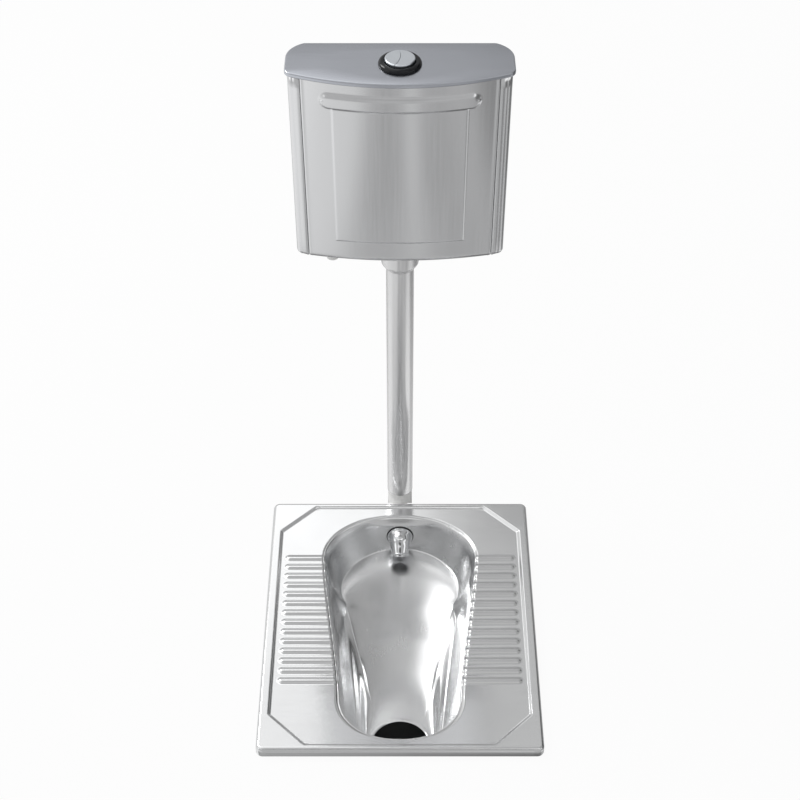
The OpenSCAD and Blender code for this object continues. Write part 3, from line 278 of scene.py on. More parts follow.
def socket_in(tree, name, kind="NodeSocketFloat"):
    tree.interface.new_socket(name, in_out="INPUT", socket_type=kind)


def socket_out(tree, name, kind="NodeSocketFloat"):
    tree.interface.new_socket(name, in_out="OUTPUT", socket_type=kind)


def build_rib_press():
    """Geometry nodes: presses the row of foot ribs into a sheet, wherever its rib_share is above 0."""
    crest_power = 1.7
    tree = bpy.data.node_groups.new("press_foot_ribs", "GeometryNodeTree")
    socket_in(tree, "Geometry", "NodeSocketGeometry")
    for name in ("Pitch", "Reach", "Height", "Rearmost", "Last rib", "End centre"):
        socket_in(tree, name)
    socket_in(tree, "Material", "NodeSocketMaterial")
    socket_out(tree, "Geometry", "NodeSocketGeometry")
    start, end = put(tree, "NodeGroupInput"), put(tree, "NodeGroupOutput")
    given = {s.name: s for s in start.outputs if s.name}
    place = put(tree, "ShaderNodeSeparateXYZ")
    tree.links.new(put(tree, "GeometryNodeInputPosition").outputs[0], place.inputs[0])
    behind = calc(tree, "SUBTRACT", given["Rearmost"], place.outputs["Y"])
    number = calc(tree, "ROUND", calc(tree, "DIVIDE", behind, given["Pitch"]))
    number = calc(tree, "MINIMUM", calc(tree, "MAXIMUM", number, 0.0), given["Last rib"])
    across = calc(tree, "SUBTRACT", behind, calc(tree, "MULTIPLY", number, given["Pitch"]))
    outwards = calc(tree, "SUBTRACT", calc(tree, "ABSOLUTE", place.outputs["X"]), given["End centre"])
    beyond = calc(tree, "MAXIMUM", outwards, 0.0)
    across_squared = calc(tree, "MULTIPLY", across, across)
    beyond_squared = calc(tree, "MULTIPLY", beyond, beyond)
    away = calc(tree, "SQRT", calc(tree, "ADD", across_squared, beyond_squared))
    part = calc(tree, "DIVIDE", away, given["Reach"])
    crest = calc(tree, "MAXIMUM", calc(tree, "SUBTRACT", 1.0, calc(tree, "MULTIPLY", part, part)), 0.0)
    crest = calc(tree, "POWER", crest, crest_power)
    share = put(tree, "GeometryNodeInputNamedAttribute", data_type="FLOAT")
    share.inputs["Name"].default_value = "rib_share"
    rise = calc(tree, "MULTIPLY", calc(tree, "MULTIPLY", crest, given["Height"]), share.outputs["Attribute"])
    lift = put(tree, "ShaderNodeCombineXYZ")
    tree.links.new(rise, lift.inputs["Z"])
    press = put(tree, "GeometryNodeSetPosition")
    tree.links.new(given["Geometry"], press.inputs["Geometry"])
    tree.links.new(lift.outputs[0], press.inputs["Offset"])
    real = put(tree, "GeometryNodeRealizeInstances")
    tree.links.new(press.outputs[0], real.inputs[0])
    paint = put(tree, "GeometryNodeSetMaterial")
    tree.links.new(real.outputs[0], paint.inputs["Geometry"])
    tree.links.new(given["Material"], paint.inputs["Material"])
    tree.links.new(paint.outputs[0], end.inputs[0])
    return tree


RIB_PRESS = build_rib_press()


def press_ribs(obj, share, material):
    """Adds the press to a sheet; share says how much of a rib each point takes."""
    mark = obj.data.attributes.new("rib_share", "FLOAT", "POINT")
    mark.data.foreach_set("value", np.asarray(share, np.float32))
    press = obj.modifiers.new("foot ribs", "NODES")
    press.node_group = RIB_PRESS
    sizes = {
        "Pitch": RIB_PITCH * MM, "Reach": RIB_REACH * MM, "Height": RIB_HEIGHT * MM,
        "Rearmost": RIB_REAR_Y * MM, "Last rib": RIB_COUNT - 1.0, "End centre": RIB_END_X * MM,
    }
    for item in RIB_PRESS.interface.items_tree:
        if item.name in sizes:
            press[item.identifier] = sizes[item.name]
        elif item.name == "Material":
            press[item.identifier] = material
    return obj


# ------------------------ materials


def build_grain():
    """Shader nodes: the fine lines of drawn or brushed metal, and soft marks of handling."""
    tree = bpy.data.node_groups.new("metal_grain", "ShaderNodeTree")
    socket_in(tree, "Line scale", "NodeSocketVector")
    socket_in(tree, "Colour", "NodeSocketColor")
    for name in ("Cloud scale", "Roughness", "Line share", "Cloud share", "Tone share"):
        socket_in(tree, name)
    socket_out(tree, "Colour", "NodeSocketColor")
    socket_out(tree, "Roughness")
    socket_out(tree, "Height")
    start, end = put(tree, "NodeGroupInput"), put(tree, "NodeGroupOutput")
    where = put(tree, "ShaderNodeTexCoord")
    stretch = put(tree, "ShaderNodeVectorMath", operation="MULTIPLY")
    tree.links.new(where.outputs["Object"], stretch.inputs[0])
    tree.links.new(start.outputs["Line scale"], stretch.inputs[1])
    lines = put(tree, "ShaderNodeTexNoise")
    lines.inputs["Scale"].default_value = 1.0
    lines.inputs["Detail"].default_value = 4.0
    tree.links.new(stretch.outputs[0], lines.inputs["Vector"])
    cloud = put(tree, "ShaderNodeTexNoise")
    cloud.inputs["Detail"].default_value = 3.0
    tree.links.new(where.outputs["Object"], cloud.inputs["Vector"])
    tree.links.new(start.outputs["Cloud scale"], cloud.inputs["Scale"])
    line = calc(tree, "SUBTRACT", lines.outputs["Fac"], 0.5)
    soft = calc(tree, "SUBTRACT", cloud.outputs["Fac"], 0.5)
    marks = calc(tree, "MULTIPLY", line, start.outputs["Line share"])
    rough = calc(tree, "ADD", start.outputs["Roughness"], marks)
    rough = calc(tree, "ADD", rough, calc(tree, "MULTIPLY", soft, start.outputs["Cloud share"]))
    change = calc(tree, "MULTIPLY", calc(tree, "ADD", line, soft), start.outputs["Tone share"])
    tone = calc(tree, "ADD", 1.0, change)
    tint = put(tree, "ShaderNodeVectorMath", operation="SCALE")
    tree.links.new(start.outputs["Colour"], tint.inputs[0])
    tree.links.new(tone, tint.inputs["Scale"])
    tree.links.new(tint.outputs[0], end.inputs["Colour"])
    tree.links.new(rough, end.inputs["Roughness"])
    tree.links.new(lines.outputs["Fac"], end.inputs["Height"])
    return tree


GRAIN = build_grain()


def finish_of(
    name, colour, rough, metal=1.0,
    lines=(60, 60, 60), line_share=0.1, cloud=6.0, cloud_share=0.1, tone=0.05, bump=0.02,
):
    """A material with the shared grain: its scales, and how much it changes roughness and tone."""
    mat = bpy.data.materials.new(name)
    mat.use_nodes = True
    tree = mat.node_tree
    shader = tree.nodes["Principled BSDF"]
    grain = put(tree, "ShaderNodeGroup", node_tree=GRAIN)
    for key, value in (
        ("Line scale", lines), ("Cloud scale", cloud), ("Roughness", rough), ("Line share", line_share),
        ("Cloud share", cloud_share), ("Colour", (*colour, 1.0)), ("Tone share", tone),
    ):
        grain.inputs[key].default_value = value
    tree.links.new(grain.outputs["Colour"], shader.inputs["Base Color"])
    tree.links.new(grain.outputs["Roughness"], shader.inputs["Roughness"])
    shader.inputs["Metallic"].default_value = metal
    relief = put(tree, "ShaderNodeBump")
    relief.inputs["Strength"].default_value = bump
    relief.inputs["Distance"].default_value = 0.5 * MM
    tree.links.new(grain.outputs["Height"], relief.inputs["Height"])
    tree.links.new(relief.outputs[0], shader.inputs["Normal"])
    return mat


FINE, RUBBERY = (900, 900, 900), (700, 700, 700)

PAN_STEEL = finish_of(
    "satin pan steel", (0.76, 0.765, 0.77), 0.15,
    lines=(30, 200, 30), line_share=0.05, cloud=9, cloud_share=0.1, tone=0.05, bump=0.008,
)
BOWL_STEEL = finish_of(
    "drawn bowl steel", (0.76, 0.765, 0.77), 0.25,
    lines=(200, 40, 40), line_share=0.04, cloud=14, cloud_share=0.12, tone=0.05, bump=0.004,
)
TANK_STEEL = finish_of(
    "brushed cistern steel", (0.72, 0.725, 0.735), 0.2,
    lines=(300, 300, 5), line_share=0.07, cloud=5, cloud_share=0.06, tone=0.06, bump=0.012,
)
LID_STEEL = finish_of(
    "lid steel", (0.53, 0.55, 0.595), 0.24,
    lines=(9, 300, 300), line_share=0.07, cloud=5, cloud_share=0.08, tone=0.06, bump=0.012,
)
PIPE_STEEL = finish_of(
    "flush pipe steel", (0.78, 0.78, 0.785), 0.2, metal=0.65,
    lines=(260, 260, 6), line_share=0.06, cloud=6, cloud_share=0.06, tone=0.05, bump=0.008,
)
CHROME = finish_of(
    "polished chrome", (0.74, 0.75, 0.76), 0.05, line_share=0.03, cloud_share=0.03, tone=0.02, bump=0.004
)
BUTTON_CHROME = finish_of(
    "satin chromed buttons", (0.84, 0.88, 0.93), 0.16,
    line_share=0.05, cloud=40, cloud_share=0.05, tone=0.03, bump=0.01,
)
BEZEL_BLACK = finish_of(
    "gloss black housing", (0.008, 0.009, 0.011), 0.12, metal=0.0, cloud=30, tone=0.2, bump=0.01
)
BEZEL_BLACK.node_tree.nodes["Principled BSDF"].inputs["Specular IOR Level"].default_value = 0.3
WHITE_PLASTIC = finish_of(
    "moulded white plastic", (0.86, 0.86, 0.85), 0.42, metal=0.0, lines=FINE, cloud=12, tone=0.05, bump=0.06
)
BLUE_PLASTIC = finish_of(
    "moulded blue plastic", (0.12, 0.3, 0.6), 0.4, metal=0.0, lines=FINE, cloud=12, tone=0.08, bump=0.06
)
GREEN_PLASTIC = finish_of(
    "moulded green plastic", (0.2, 0.5, 0.28), 0.4, metal=0.0, lines=FINE, cloud=12, tone=0.08, bump=0.06
)
BLACK_RUBBER = finish_of(
    "black rubber", (0.025, 0.025, 0.026), 0.7, metal=0.0, lines=RUBBERY, cloud=25, tone=0.3, bump=0.15
)
RED_RUBBER = finish_of(
    "red silicone", (0.5, 0.09, 0.07), 0.5, metal=0.0, lines=RUBBERY, cloud=25, tone=0.15, bump=0.1
)
WIRE_STEEL = finish_of(
    "spring and pin steel", (0.62, 0.62, 0.62), 0.3,
    lines=(500, 500, 500), line_share=0.15, tone=0.1, bump=0.05,
)

BY_SLOT = {
    "pan_steel": PAN_STEEL, "pipe_steel": PIPE_STEEL, "cistern_steel": TANK_STEEL, "lid_steel": LID_STEEL,
    "nozzle_chrome": CHROME, "button_chrome": BUTTON_CHROME, "black_plastic": BEZEL_BLACK,
    "white_plastic": WHITE_PLASTIC, "blue_plastic": BLUE_PLASTIC, "green_plastic": GREEN_PLASTIC,
    "black_rubber": BLACK_RUBBER, "red_rubber": RED_RUBBER, "pin_steel": WIRE_STEEL,
}
SLOT_OF = {s["node"]: s["material_slot"] for s in frame["record"]["subparts"]}
for node, obj in frame["nodes"].items():
    obj.data.materials.clear()
    obj.data.materials.append(BY_SLOT[SLOT_OF[node]])


def dress(obj, material, body, slot, *nodes):
    """Gives a piece its material and body, in the place of the named nodes, which it hides; slot is not
    used.
    """
    obj.data.materials.clear()
    obj.data.materials.append(material)
    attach(obj, body)
    if nodes:
        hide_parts(*nodes)
    return obj


# ------------------------ pan and bowl


def egg_width(y, back, front, arcs, halves):
    """The half-width of an egg shape at y: an elliptic back end, long sides, and a fuller front end."""
    (back_arc, front_arc), (back_w, front_w) = arcs, halves
    fullness = 2.2
    yb, yf = back - back_arc, front + front_arc
    s = (y - yf) / (yb - yf)
    if y >= yb:
        return back_w * math.sqrt(max(0.0, 1 - ((y - yb) / back_arc) ** 2))
    if y <= yf:
        return front_w * max(0.0, 1 - ((yf - y) / front_arc) ** fullness) ** (1 / fullness)
    return mix(front_w, back_w, 0.6 * s + 0.4 * float(ease(s)))


def rim_width(y):
    return egg_width(y, RIM_BACK, RIM_FRONT, RIM_ARCS, RIM_HALVES)


def edge_width(y):
    shoulders = SHOULDER_IN * math.exp(-(((y - SHOULDER_Y) / SHOULDER_L) ** 2))
    return egg_width(y, EDGE_BACK, EDGE_FRONT, EDGE_ARCS, EDGE_HALVES) - shoulders


def side_of(t):
    """The side of the middle plane that an angle lies on: 0 is the back's middle, and pi the front's."""
    s = math.sin(t)
    return 0 if abs(s) < 1e-4 else math.copysign(1, s)


def rim_point(t):
    y = (RIM_BACK + RIM_FRONT) / 2 + (RIM_BACK - RIM_FRONT) / 2 * math.cos(t)
    return np.array([side_of(t) * rim_width(y), y])


def edge_point(t):
    y = (EDGE_BACK + EDGE_FRONT) / 2 + (EDGE_BACK - EDGE_FRONT) / 2 * math.cos(t)
    return np.array([side_of(t) * edge_width(y), y])


def rim_offset(t, d):
    """The rim's point at t, moved outwards by d."""
    step = rim_point(t + 0.02) - rim_point(t - 0.02)
    step /= np.linalg.norm(step)
    return rim_point(t) + d * np.array([-step[1], step[0]])


def mid_z(y):
    """The floor's height on the middle plane."""
    s = min(1.0, max(0.0, (EDGE_BACK - y) / (EDGE_BACK - OUTLET_Y - LAND_R)))
    return PAN_TOP - mix(SHELF, DEEP, 1 - (1 - s) ** FALL_POWER)


def side_rise(y):
    """How far the floor's edge lies above its middle."""
    return FLOOR_RISE * float(ease((EDGE_BACK - y) / RISE_RUN))


def edge_z(y):
    return mid_z(y) + side_rise(y)


def floor_point(t, s):
    """A point of the bowl's floor: s is 0 at its edge and 1 at the flat land round the outlet."""
    edge = edge_point(t)
    turn = mix(t, math.atan2(edge[0], edge[1] - OUTLET_Y), 0.5) if side_of(t) else t
    p = mix(edge, np.array([LAND_R * math.sin(turn), OUTLET_Y + LAND_R * math.cos(turn)]), s)
    across = min(1.0, abs(p[0]) / max(1.0, edge_width(p[1])))
    rim_share = 1 - (1 - across) * (1 - max(0.0, 1 - 2 * s) ** 2)
    z = mid_z(p[1]) + side_rise(p[1]) * rim_share**3
    return (p[0], p[1], mix(z, OUTLET_Z, float(ease(2 * s - 1)))), turn


def rim_turn(y):
    """The angle at which the opening's outline passes y."""
    mid, half = (RIM_BACK + RIM_FRONT) / 2, (RIM_BACK - RIM_FRONT) / 2
    return math.acos((y - mid) / half)


# One quarter's columns along the octagon's side and its end, and the cut corner's share of the turn
SIDE_COLUMNS, END_COLUMNS, CUT_SHARE = 150, 28, 0.42
OCT_SIDE, OCT_END = OCT_HALF_L - OCT_CUT, OCT_HALF_W - OCT_CUT
SIDE_YS = np.linspace(0, OCT_SIDE, SIDE_COLUMNS, endpoint=False)


def deck_columns():
    """One quarter: points on the octagon's line and on the pan's edge, and the edge's inward direction."""
    quarter = [((OCT_HALF_W, y), (PAN_HALF_W, y), (-1, 0)) for y in SIDE_YS]
    corner_x, corner_y = PAN_HALF_W - PAN_CORNER, PAN_HALF_L - PAN_CORNER
    run = [((PAN_HALF_W, y), (-1, 0)) for y in np.linspace(OCT_SIDE, corner_y, 8, endpoint=False)]
    for a in np.radians(np.linspace(0, 90, 7)):
        nx, ny = math.cos(a), math.sin(a)
        run.append(((corner_x + PAN_CORNER * nx, corner_y + PAN_CORNER * ny), (-nx, -ny)))
    run += [((x, PAN_HALF_L), (0, -1)) for x in np.linspace(corner_x, OCT_END, 9)[1:-1]]
    for i, (p, n) in enumerate(run):
        s = i / len(run)
        quarter.append(((OCT_HALF_W - OCT_CUT * s, OCT_SIDE + OCT_CUT * s), p, n))
    for x in np.linspace(OCT_END, 0, END_COLUMNS, endpoint=False):
        quarter.append(((x, OCT_HALF_L), (x, PAN_HALF_L), (0, -1)))
    return quarter, len(run)


def quarter_turns(sign, cut_count):
    """The opening's angle for each column of one quarter; sign is +1 for the back, -1 for the front."""
    t_side, t_end = rim_turn(sign * OCT_SIDE), 0.0 if sign > 0 else math.pi
    t_mid = mix(t_side, t_end, CUT_SHARE)
    side = [rim_turn(sign * y) for y in SIDE_YS]
    cut = [mix(t_side, t_mid, i / cut_count) for i in range(cut_count)]
    end = [mix(t_mid, t_end, i / END_COLUMNS) for i in range(END_COLUMNS)]
    return side + cut + end


def all_columns():
    """The columns all the way round: right, back, left and front."""
    quarter, cut_count = deck_columns()
    back, front = quarter_turns(1, cut_count), quarter_turns(-1, cut_count)
    cols = []

    def add(q, t, sx, sy):
        (ox, oy), (px, py), (nx, ny) = q
        cols.append((sx * t, (sx * ox, sy * oy), (sx * px, sy * py), (sx * nx, sy * ny)))

    for q, t in zip(quarter, back):
        add(q, t, 1, 1)
    cols.append((0.0, (0, OCT_HALF_L), (0, PAN_HALF_L), (0, -1)))
    for q, t in list(zip(quarter, back))[:0:-1]:
        add(q, t, -1, 1)
    for q, t in zip(quarter, front):
        add(q, t, -1, -1)
    cols.append((math.pi, (0, -OCT_HALF_L), (0, -PAN_HALF_L), (0, 1)))
    for q, t in list(zip(quarter, front))[:0:-1]:
        add(q, t, 1, -1)
    return cols


COLUMNS = all_columns()


def octagon_distance(x, y):
    """How far a point lies outside the octagon's line; less than 0 is inside."""
    x, y = abs(x), abs(y)
    return max(x - OCT_HALF_W, y - OCT_HALF_L, (x + y - OCT_HALF_W - OCT_HALF_L + OCT_CUT) / math.sqrt(2))


def platform_height(x, y):
    """The platform, the soft step of 6 mm at the octagon's line, and the border."""
    return PLATFORM + (PAN_TOP - PLATFORM) * float(ease((octagon_distance(x, y) + 3.2) / 6.0))


# The pan's skirt and its folded lip: distance inwards from the pan's edge, and height
SKIRT_AND_LIP = ((0, 8), (0, 2.2), (0.25, 1.0), (1.0, 0.25), (2.0, 0.0), (PAN_CORNER - 0.5, 0.0))


def build_deck():
    """The pan as one sheet, from the bowl's opening to the folded lip, with its ribs."""
    # The finer stretch by the opening, half the step's width, and the rows of each stretch
    near_l, step_l = 34, 4.0
    near_rows, flat_rows, step_rows, round_rows = 13, 15, 8, 8
    ribbed = near_rows + flat_rows + 1
    grid, share = [], []
    for t, octo, edge, inward in COLUMNS:
        a, o, e, n = rim_offset(t, FILLET), np.array(octo), np.array(edge), np.array(inward)
        span = np.linalg.norm(o - a)
        near = mix(o, a, min(near_l, 0.6 * span) / span)
        before = mix(o, a, step_l / span)
        after = e + n * (PAN_EDGE + 0.4)
        beyond = mix(o, after, min(1.0, step_l / max(0.5, np.linalg.norm(after - o))) * 0.9)
        line = [mix(a, near, i / near_rows) for i in range(near_rows)]
        line += [mix(near, before, i / flat_rows) for i in range(flat_rows)]
        line += [mix(before, beyond, i / step_rows) for i in range(step_rows + 1)]
        line += [after]
        col = [(p[0], p[1], platform_height(*p)) for p in line]
        for ang in np.radians(np.linspace(0, 90, round_rows)):
            p = e + n * (PAN_EDGE * (1 - math.sin(ang)))
            col.append((p[0], p[1], PAN_TOP - PAN_EDGE * (1 - math.cos(ang))))
        for d, z in SKIRT_AND_LIP:
            p = e + n * d
            col.append((p[0], p[1], z))
        grid.append(col)
        share.append([1.0] * ribbed + [0.0] * (len(col) - ribbed))
    grid = np.array(grid).transpose(1, 0, 2)
    share = np.array(share).T
    deck = sheet_piece("pan_deck_sheet", grid, wrap=True, flip=True)
    press_ribs(deck, share.ravel(), PAN_STEEL)
    thickened(deck, PAN_SHEET - THINNER)
    return baked(deck)


# The bowl's wall: share of the way from the rim to the floor's edge in plan, and share of the fall
WALL_KNOTS = (
    (0.01, 0.05), (0.1, 0.1), (0.22, 0.2), (0.34, 0.37), (0.48, 0.56), (0.64, 0.74), (0.8, 0.88),
    (0.93, 0.965), (1.0, 1.0),
)
WALL_CURVE = through(WALL_KNOTS, 32)
# Rows of the floor, closer together by its edge
FLOOR_STEPS = np.linspace(0, 1, 48)[1:] ** 1.15
# The fillet at the opening: distance outwards from the rim, and height above the platform
ROUND_OVER = ((FILLET, 0.0), (3.5, -0.12), (2.5, -0.5), (1.6, -1.15), (0.8, -2.1), (0.2, -3.3))


def seat_limit(y, fall):
    """The wall's place behind the nozzle: flat at its seat, with a soft change to the curve."""
    widest, narrowing = 10, 0.5
    soft = widest * (1 - float(ease((fall - narrowing) / (1 - narrowing)))) + 0.001
    over = y - SEAT_Y
    if abs(over) >= soft:
        return min(y, SEAT_Y)
    return min(y, SEAT_Y) - (soft - abs(over)) ** 2 / (4 * soft)


def build_bowl():
    """The bowl as one sheet on every second column: fillet, wall, floor, and flat land round the outlet."""
    # The seat's reach in degrees from the back and as a share of the fall, and how the ribs fade out
    seat_angle, seat_fall = 45, 0.24
    rib_fade, fade_power = 5.5, 0.8
    grid, share = [], []
    for t, *_ in COLUMNS[::2]:
        col, own = [], []
        for i, (d, dz) in enumerate(ROUND_OVER):
            p = rim_offset(t, d)
            col.append((p[0], p[1], PLATFORM + dz))
            own.append(max(0.0, 1 - (i / rib_fade)) ** fade_power)
        a, b = rim_point(t), edge_point(t)
        low = edge_z(b[1])
        back = abs(math.degrees(t)) < seat_angle
        for run, fall in WALL_CURVE:
            p = mix(a, b, run)
            if back:
                p = np.array([p[0], mix(p[1], seat_limit(p[1], fall), float(ease(fall / seat_fall)))])
            col.append((p[0], p[1], mix(PLATFORM, low, fall)))
            own.append(0.0)
        for q in FLOOR_STEPS:
            p, turn = floor_point(t, q)
            col.append(p)
            own.append(0.0)
        col.append((OUTLET_R * math.sin(turn), OUTLET_Y + OUTLET_R * math.cos(turn), OUTLET_Z))
        own.append(0.0)
        grid.append(col)
        share.append(own)
    grid = np.array(grid).transpose(1, 0, 2)
    share = np.array(share).T
    bowl = sheet_piece("pan_bowl_sheet", grid, wrap=True)
    press_ribs(bowl, share.ravel(), BOWL_STEEL)
    thickened(bowl, PAN_SHEET - 2 * THINNER)
    return baked(bowl)


dress(build_deck(), PAN_STEEL, "installation", "pan_steel", "pan_deck")
dress(build_bowl(), BOWL_STEEL, "installation", "pan_steel", "pan_bowl")


def rotation_x(degrees):
    """The matrix of a turn about the x axis."""
    a = math.radians(degrees)
    return np.array([[1, 0, 0], [0, math.cos(a), -math.sin(a)], [0, math.sin(a), math.cos(a)]])


def combined(base, others, operation):
    """Adds or cuts solids, one after the other, and removes them."""
    for other in others:
        step = base.modifiers.new(operation.lower(), "BOOLEAN")
        step.operation = operation
        step.object = other
        baked(base)
        bpy.data.objects.remove(other)
    return base


def build_flush_nozzle():
    """Collar, neck and tail on one axis, a ball-shaped elbow, and a spout that looks down into the bowl."""
    level, down = rotation_x(-90), rotation_x(90 + SPOUT_TILT)
    seat, elbow = (0, SEAT_Y, NOZZLE_Z), (0, SEAT_Y - ELBOW_OUT, NOZZLE_Z)

    def ball(name, r):
        arc = [(max(0.3, r * math.cos(a)), r * math.sin(a)) for a in np.radians(np.linspace(-90, 90, 41))]
        return lathe(name, arc, elbow, turn=down)

    collar_and_tail = [(0.3, -11.5), (19.6, -11.5), (22.7, -4.4), (23.0, -4.0)]
    collar_and_tail += corner_arc((COLLAR_R - 1.0, -3.0), 1.0, -90, 0, 6)
    collar_and_tail += [(COLLAR_R, 0.0), (TAIL_R, 0.0), (TAIL_R, TAIL_L), (0.3, TAIL_L)]
    outside = lathe("flush_nozzle_chrome", collar_and_tail, seat, turn=level)
    spout_skin = [(0.3, 0.0), (19.5, 0.0), (19.2, 6.0), (18.5, 14.0), (17.5, 21.0), (16.6, 26.8)]
    spout_skin += corner_arc((16.1, 29.0), 1.9, -62, 82, 10) + [(15.4, 31.0), (0.3, 31.0)]
    spout = lathe("spout", spout_skin, elbow, turn=down)
    combined(outside, [ball("elbow", ELBOW_R), spout], "UNION")
    tail_bore = [(0.2, -12.0), (TAIL_BORE_R, -12.0), (TAIL_BORE_R, 60), (0.2, 60)]
    spout_bore = [(0.25, 0.0), (SPOUT_BORE_R, 0.0), (SPOUT_BORE_R, 30.2)]
    spout_bore += [(SPOUT_BORE_R + 0.5, 31.2), (SPOUT_BORE_R + 0.5, 50), (0.25, 50)]
    bores = [
        lathe("tail bore", tail_bore, seat, turn=level),
        ball("elbow bore", ELBOW_BORE_R),
        lathe("spout bore", spout_bore, elbow, turn=down),
    ]
    return combined(outside, bores, "DIFFERENCE")


# A thin black ring round the nozzle's collar: painted shade, standing for the shadow gap and dark reflection
# at the collar's edge.
COLLAR_SHADE_LIP = [(25.05, -0.3), (26.4, -0.3), (26.7, -0.9), (26.3, -1.9), (25.5, -2.4), (25.05, -2.2)]
collar_shade = lathe("nozzle_collar_painted_shade", COLLAR_SHADE_LIP, (0, SEAT_Y, NOZZLE_Z), turn=rotation_x(-90))
dress(collar_shade, BLACK_RUBBER, "installation", "black_rubber")

nozzle = build_flush_nozzle()
dress(sharpened(nozzle, 40), CHROME, "installation", "nozzle_chrome", "flush_nozzle")


# ------------------------ flush pipe

pipe_wall = [
    (PIPE_BORE_R, PIPE_LOW + 0.2), (PIPE_R - 0.5, PIPE_LOW), (PIPE_R - 0.2, PIPE_LOW),
    (PIPE_R, PIPE_LOW + 0.3), (PIPE_R, PIPE_LOW + 1.5), (PIPE_R, 300), (PIPE_R, PIPE_HIGH - 1.5),
    (PIPE_R, PIPE_HIGH - 0.3), (PIPE_R - 0.3, PIPE_HIGH), (PIPE_R - 0.6, PIPE_HIGH),
    (PIPE_BORE_R, PIPE_HIGH - 0.4),
]
pipe = lathe("flush_pipe_tube", pipe_wall, (0, AXIS_Y, 0), 128)
dress(sharpened(pipe, 50), PIPE_STEEL, "installation", "pipe_steel", "flush_pipe")

# The cup, from its lower edge up, and its inside
cup_wall = [(25.2, 0.0), (26.1, 0.0), (26.9, 0.4), (29.9, 4.6), (32.5, 8.4), (33.3, 10.2)]
cup_wall += [(CUP_R, 12.5), (CUP_R, 13.5), (CUP_R, CUP_H - 2.4), (CUP_R, CUP_H - 1.2)]
cup_wall += corner_arc((CUP_R - 1.2, CUP_H - 1.2), 1.2, 0, 90, 5)[1:]
cup_wall += [(24.1, CUP_H), (24.1, CUP_H - 12.0), (30.5, CUP_H - 12.0), (30.5, 14.0), (25.2, 5.0)]
cup = lathe("coupling_cup", cup_wall, (0, AXIS_Y, CUP_LOW), 128)
dress(sharpened(cup, 50), PIPE_STEEL, "installation", "pipe_steel", "coupling_nut")


# ------------------------ cistern


def up_part(z):
    """0 at the cistern's foot and 1 at its top."""
    return (z - TANK_LOW) / TANK_H


def half_width(z):
    return TANK_HALF_W - TAPER_SIDE * (1 - up_part(z))


def bulge(z):
    """How far the front stands out in its middle, against its sides."""
    return mix(BULGE_LOW, BULGE_TOP, up_part(z))


def front_y(x, z):
    return TANK_FRONT_Y + TAPER_FRONT * (1 - up_part(z)) + bulge(z) * (x / half_width(z)) ** 2


def foot_in(z):
    """How far the walls turn in at their rounded foot."""
    s = min(1, max(0, 1 - (z - TANK_LOW) / FOOT_ROUND))
    return FOOT_IN * (1 - math.sqrt(1 - s * s * 0.98))


def emboss(x, z):
    """How far the bar and the field stand out of the front sheet."""
    bar_soft_above, bar_soft_below, field_soft = 10.0, 5.5, 3.2
    far = math.hypot(max(0.0, abs(x) - (BAR_HALF_L - BAR_R)), z - BAR_Z)
    bar = float(ease((BAR_R - far) / (bar_soft_above if z > BAR_Z else bar_soft_below)))
    inside = min(FIELD_HALF - abs(x), z - FIELD_Z, BAR_Z - z)
    return BAR_OUT * bar + FIELD_OUT * float(ease((inside + 0.5) / field_soft)) * (1 - bar)


def spaced(*stretches):
    """Numbers along a line: each stretch is (start, end, step)."""
    out = []
    for a, b, step in stretches:
        n = max(1, int(round((b - a) / step)))
        out += list(np.linspace(a, b, n, endpoint=False))
    return out + [stretches[-1][1]]


def build_front():
    """The front sheet, with finer facets at its foot and at the pressed edges."""
    bar_end, past_bar = BAR_HALF_L - 30, BAR_HALF_L + 6
    half = spaced((0, bar_end, 5), (bar_end, past_bar, 1.2), (past_bar, FRONT_EDGE, 3.5))
    xs = [-x for x in half[:0:-1]] + half
    foot, field_low, field_high = TANK_LOW + FOOT_ROUND, FIELD_Z - 6, FIELD_Z + 8
    bar_low, bar_high = BAR_Z - 21, BAR_Z + 21
    zs = spaced(
        (TANK_LOW, foot, 0.9), (foot, field_low, 4), (field_low, field_high, 0.9), (field_high, bar_low, 6),
        (bar_low, bar_high, 1.0), (bar_high, TANK_TOP, 3),
    )
    fold_out = SEAM_X - FRONT_EDGE
    turns = np.radians((15, 30, 45, 60, 75, 90))
    fold = [(fold_out * math.sin(a), FOLD_BACK * (1 - math.cos(a))) for a in turns]
    grid = []
    for z in zs:
        k = half_width(z) / TANK_HALF_W
        back = foot_in(z) - PANEL_PROUD
        edge_y = front_y(FRONT_EDGE * k, z) + back
        row = [((-FRONT_EDGE - dx) * k, edge_y + dy, z) for dx, dy in fold[::-1]]
        row += [(x * k, front_y(x * k, z) + back - emboss(x, z), z) for x in xs]
        row += [((FRONT_EDGE + dx) * k, edge_y + dy, z) for dx, dy in fold]
        grid.append(row)
    front = sheet_piece("cistern_front_sheet", np.array(grid))
    return baked(thickened(front, TANK_SHEET - THINNER))


def seam_fold(x):
    """The gap beside the front sheet's edge, and the rounded bead next to it."""
    gap_x, gap_reach, gap_depth = SEAM_X - 0.6, 2.2, 1.3
    bead_x, bead_reach, bead_height = SEAM_X + 7.0, 5.0, 0.8
    gap = max(0.0, 1 - abs(x - gap_x) / gap_reach)
    bead = max(0.0, 1 - ((x - bead_x) / bead_reach) ** 2)
    return gap_depth * float(ease(gap * 1.3)) - bead_height * bead


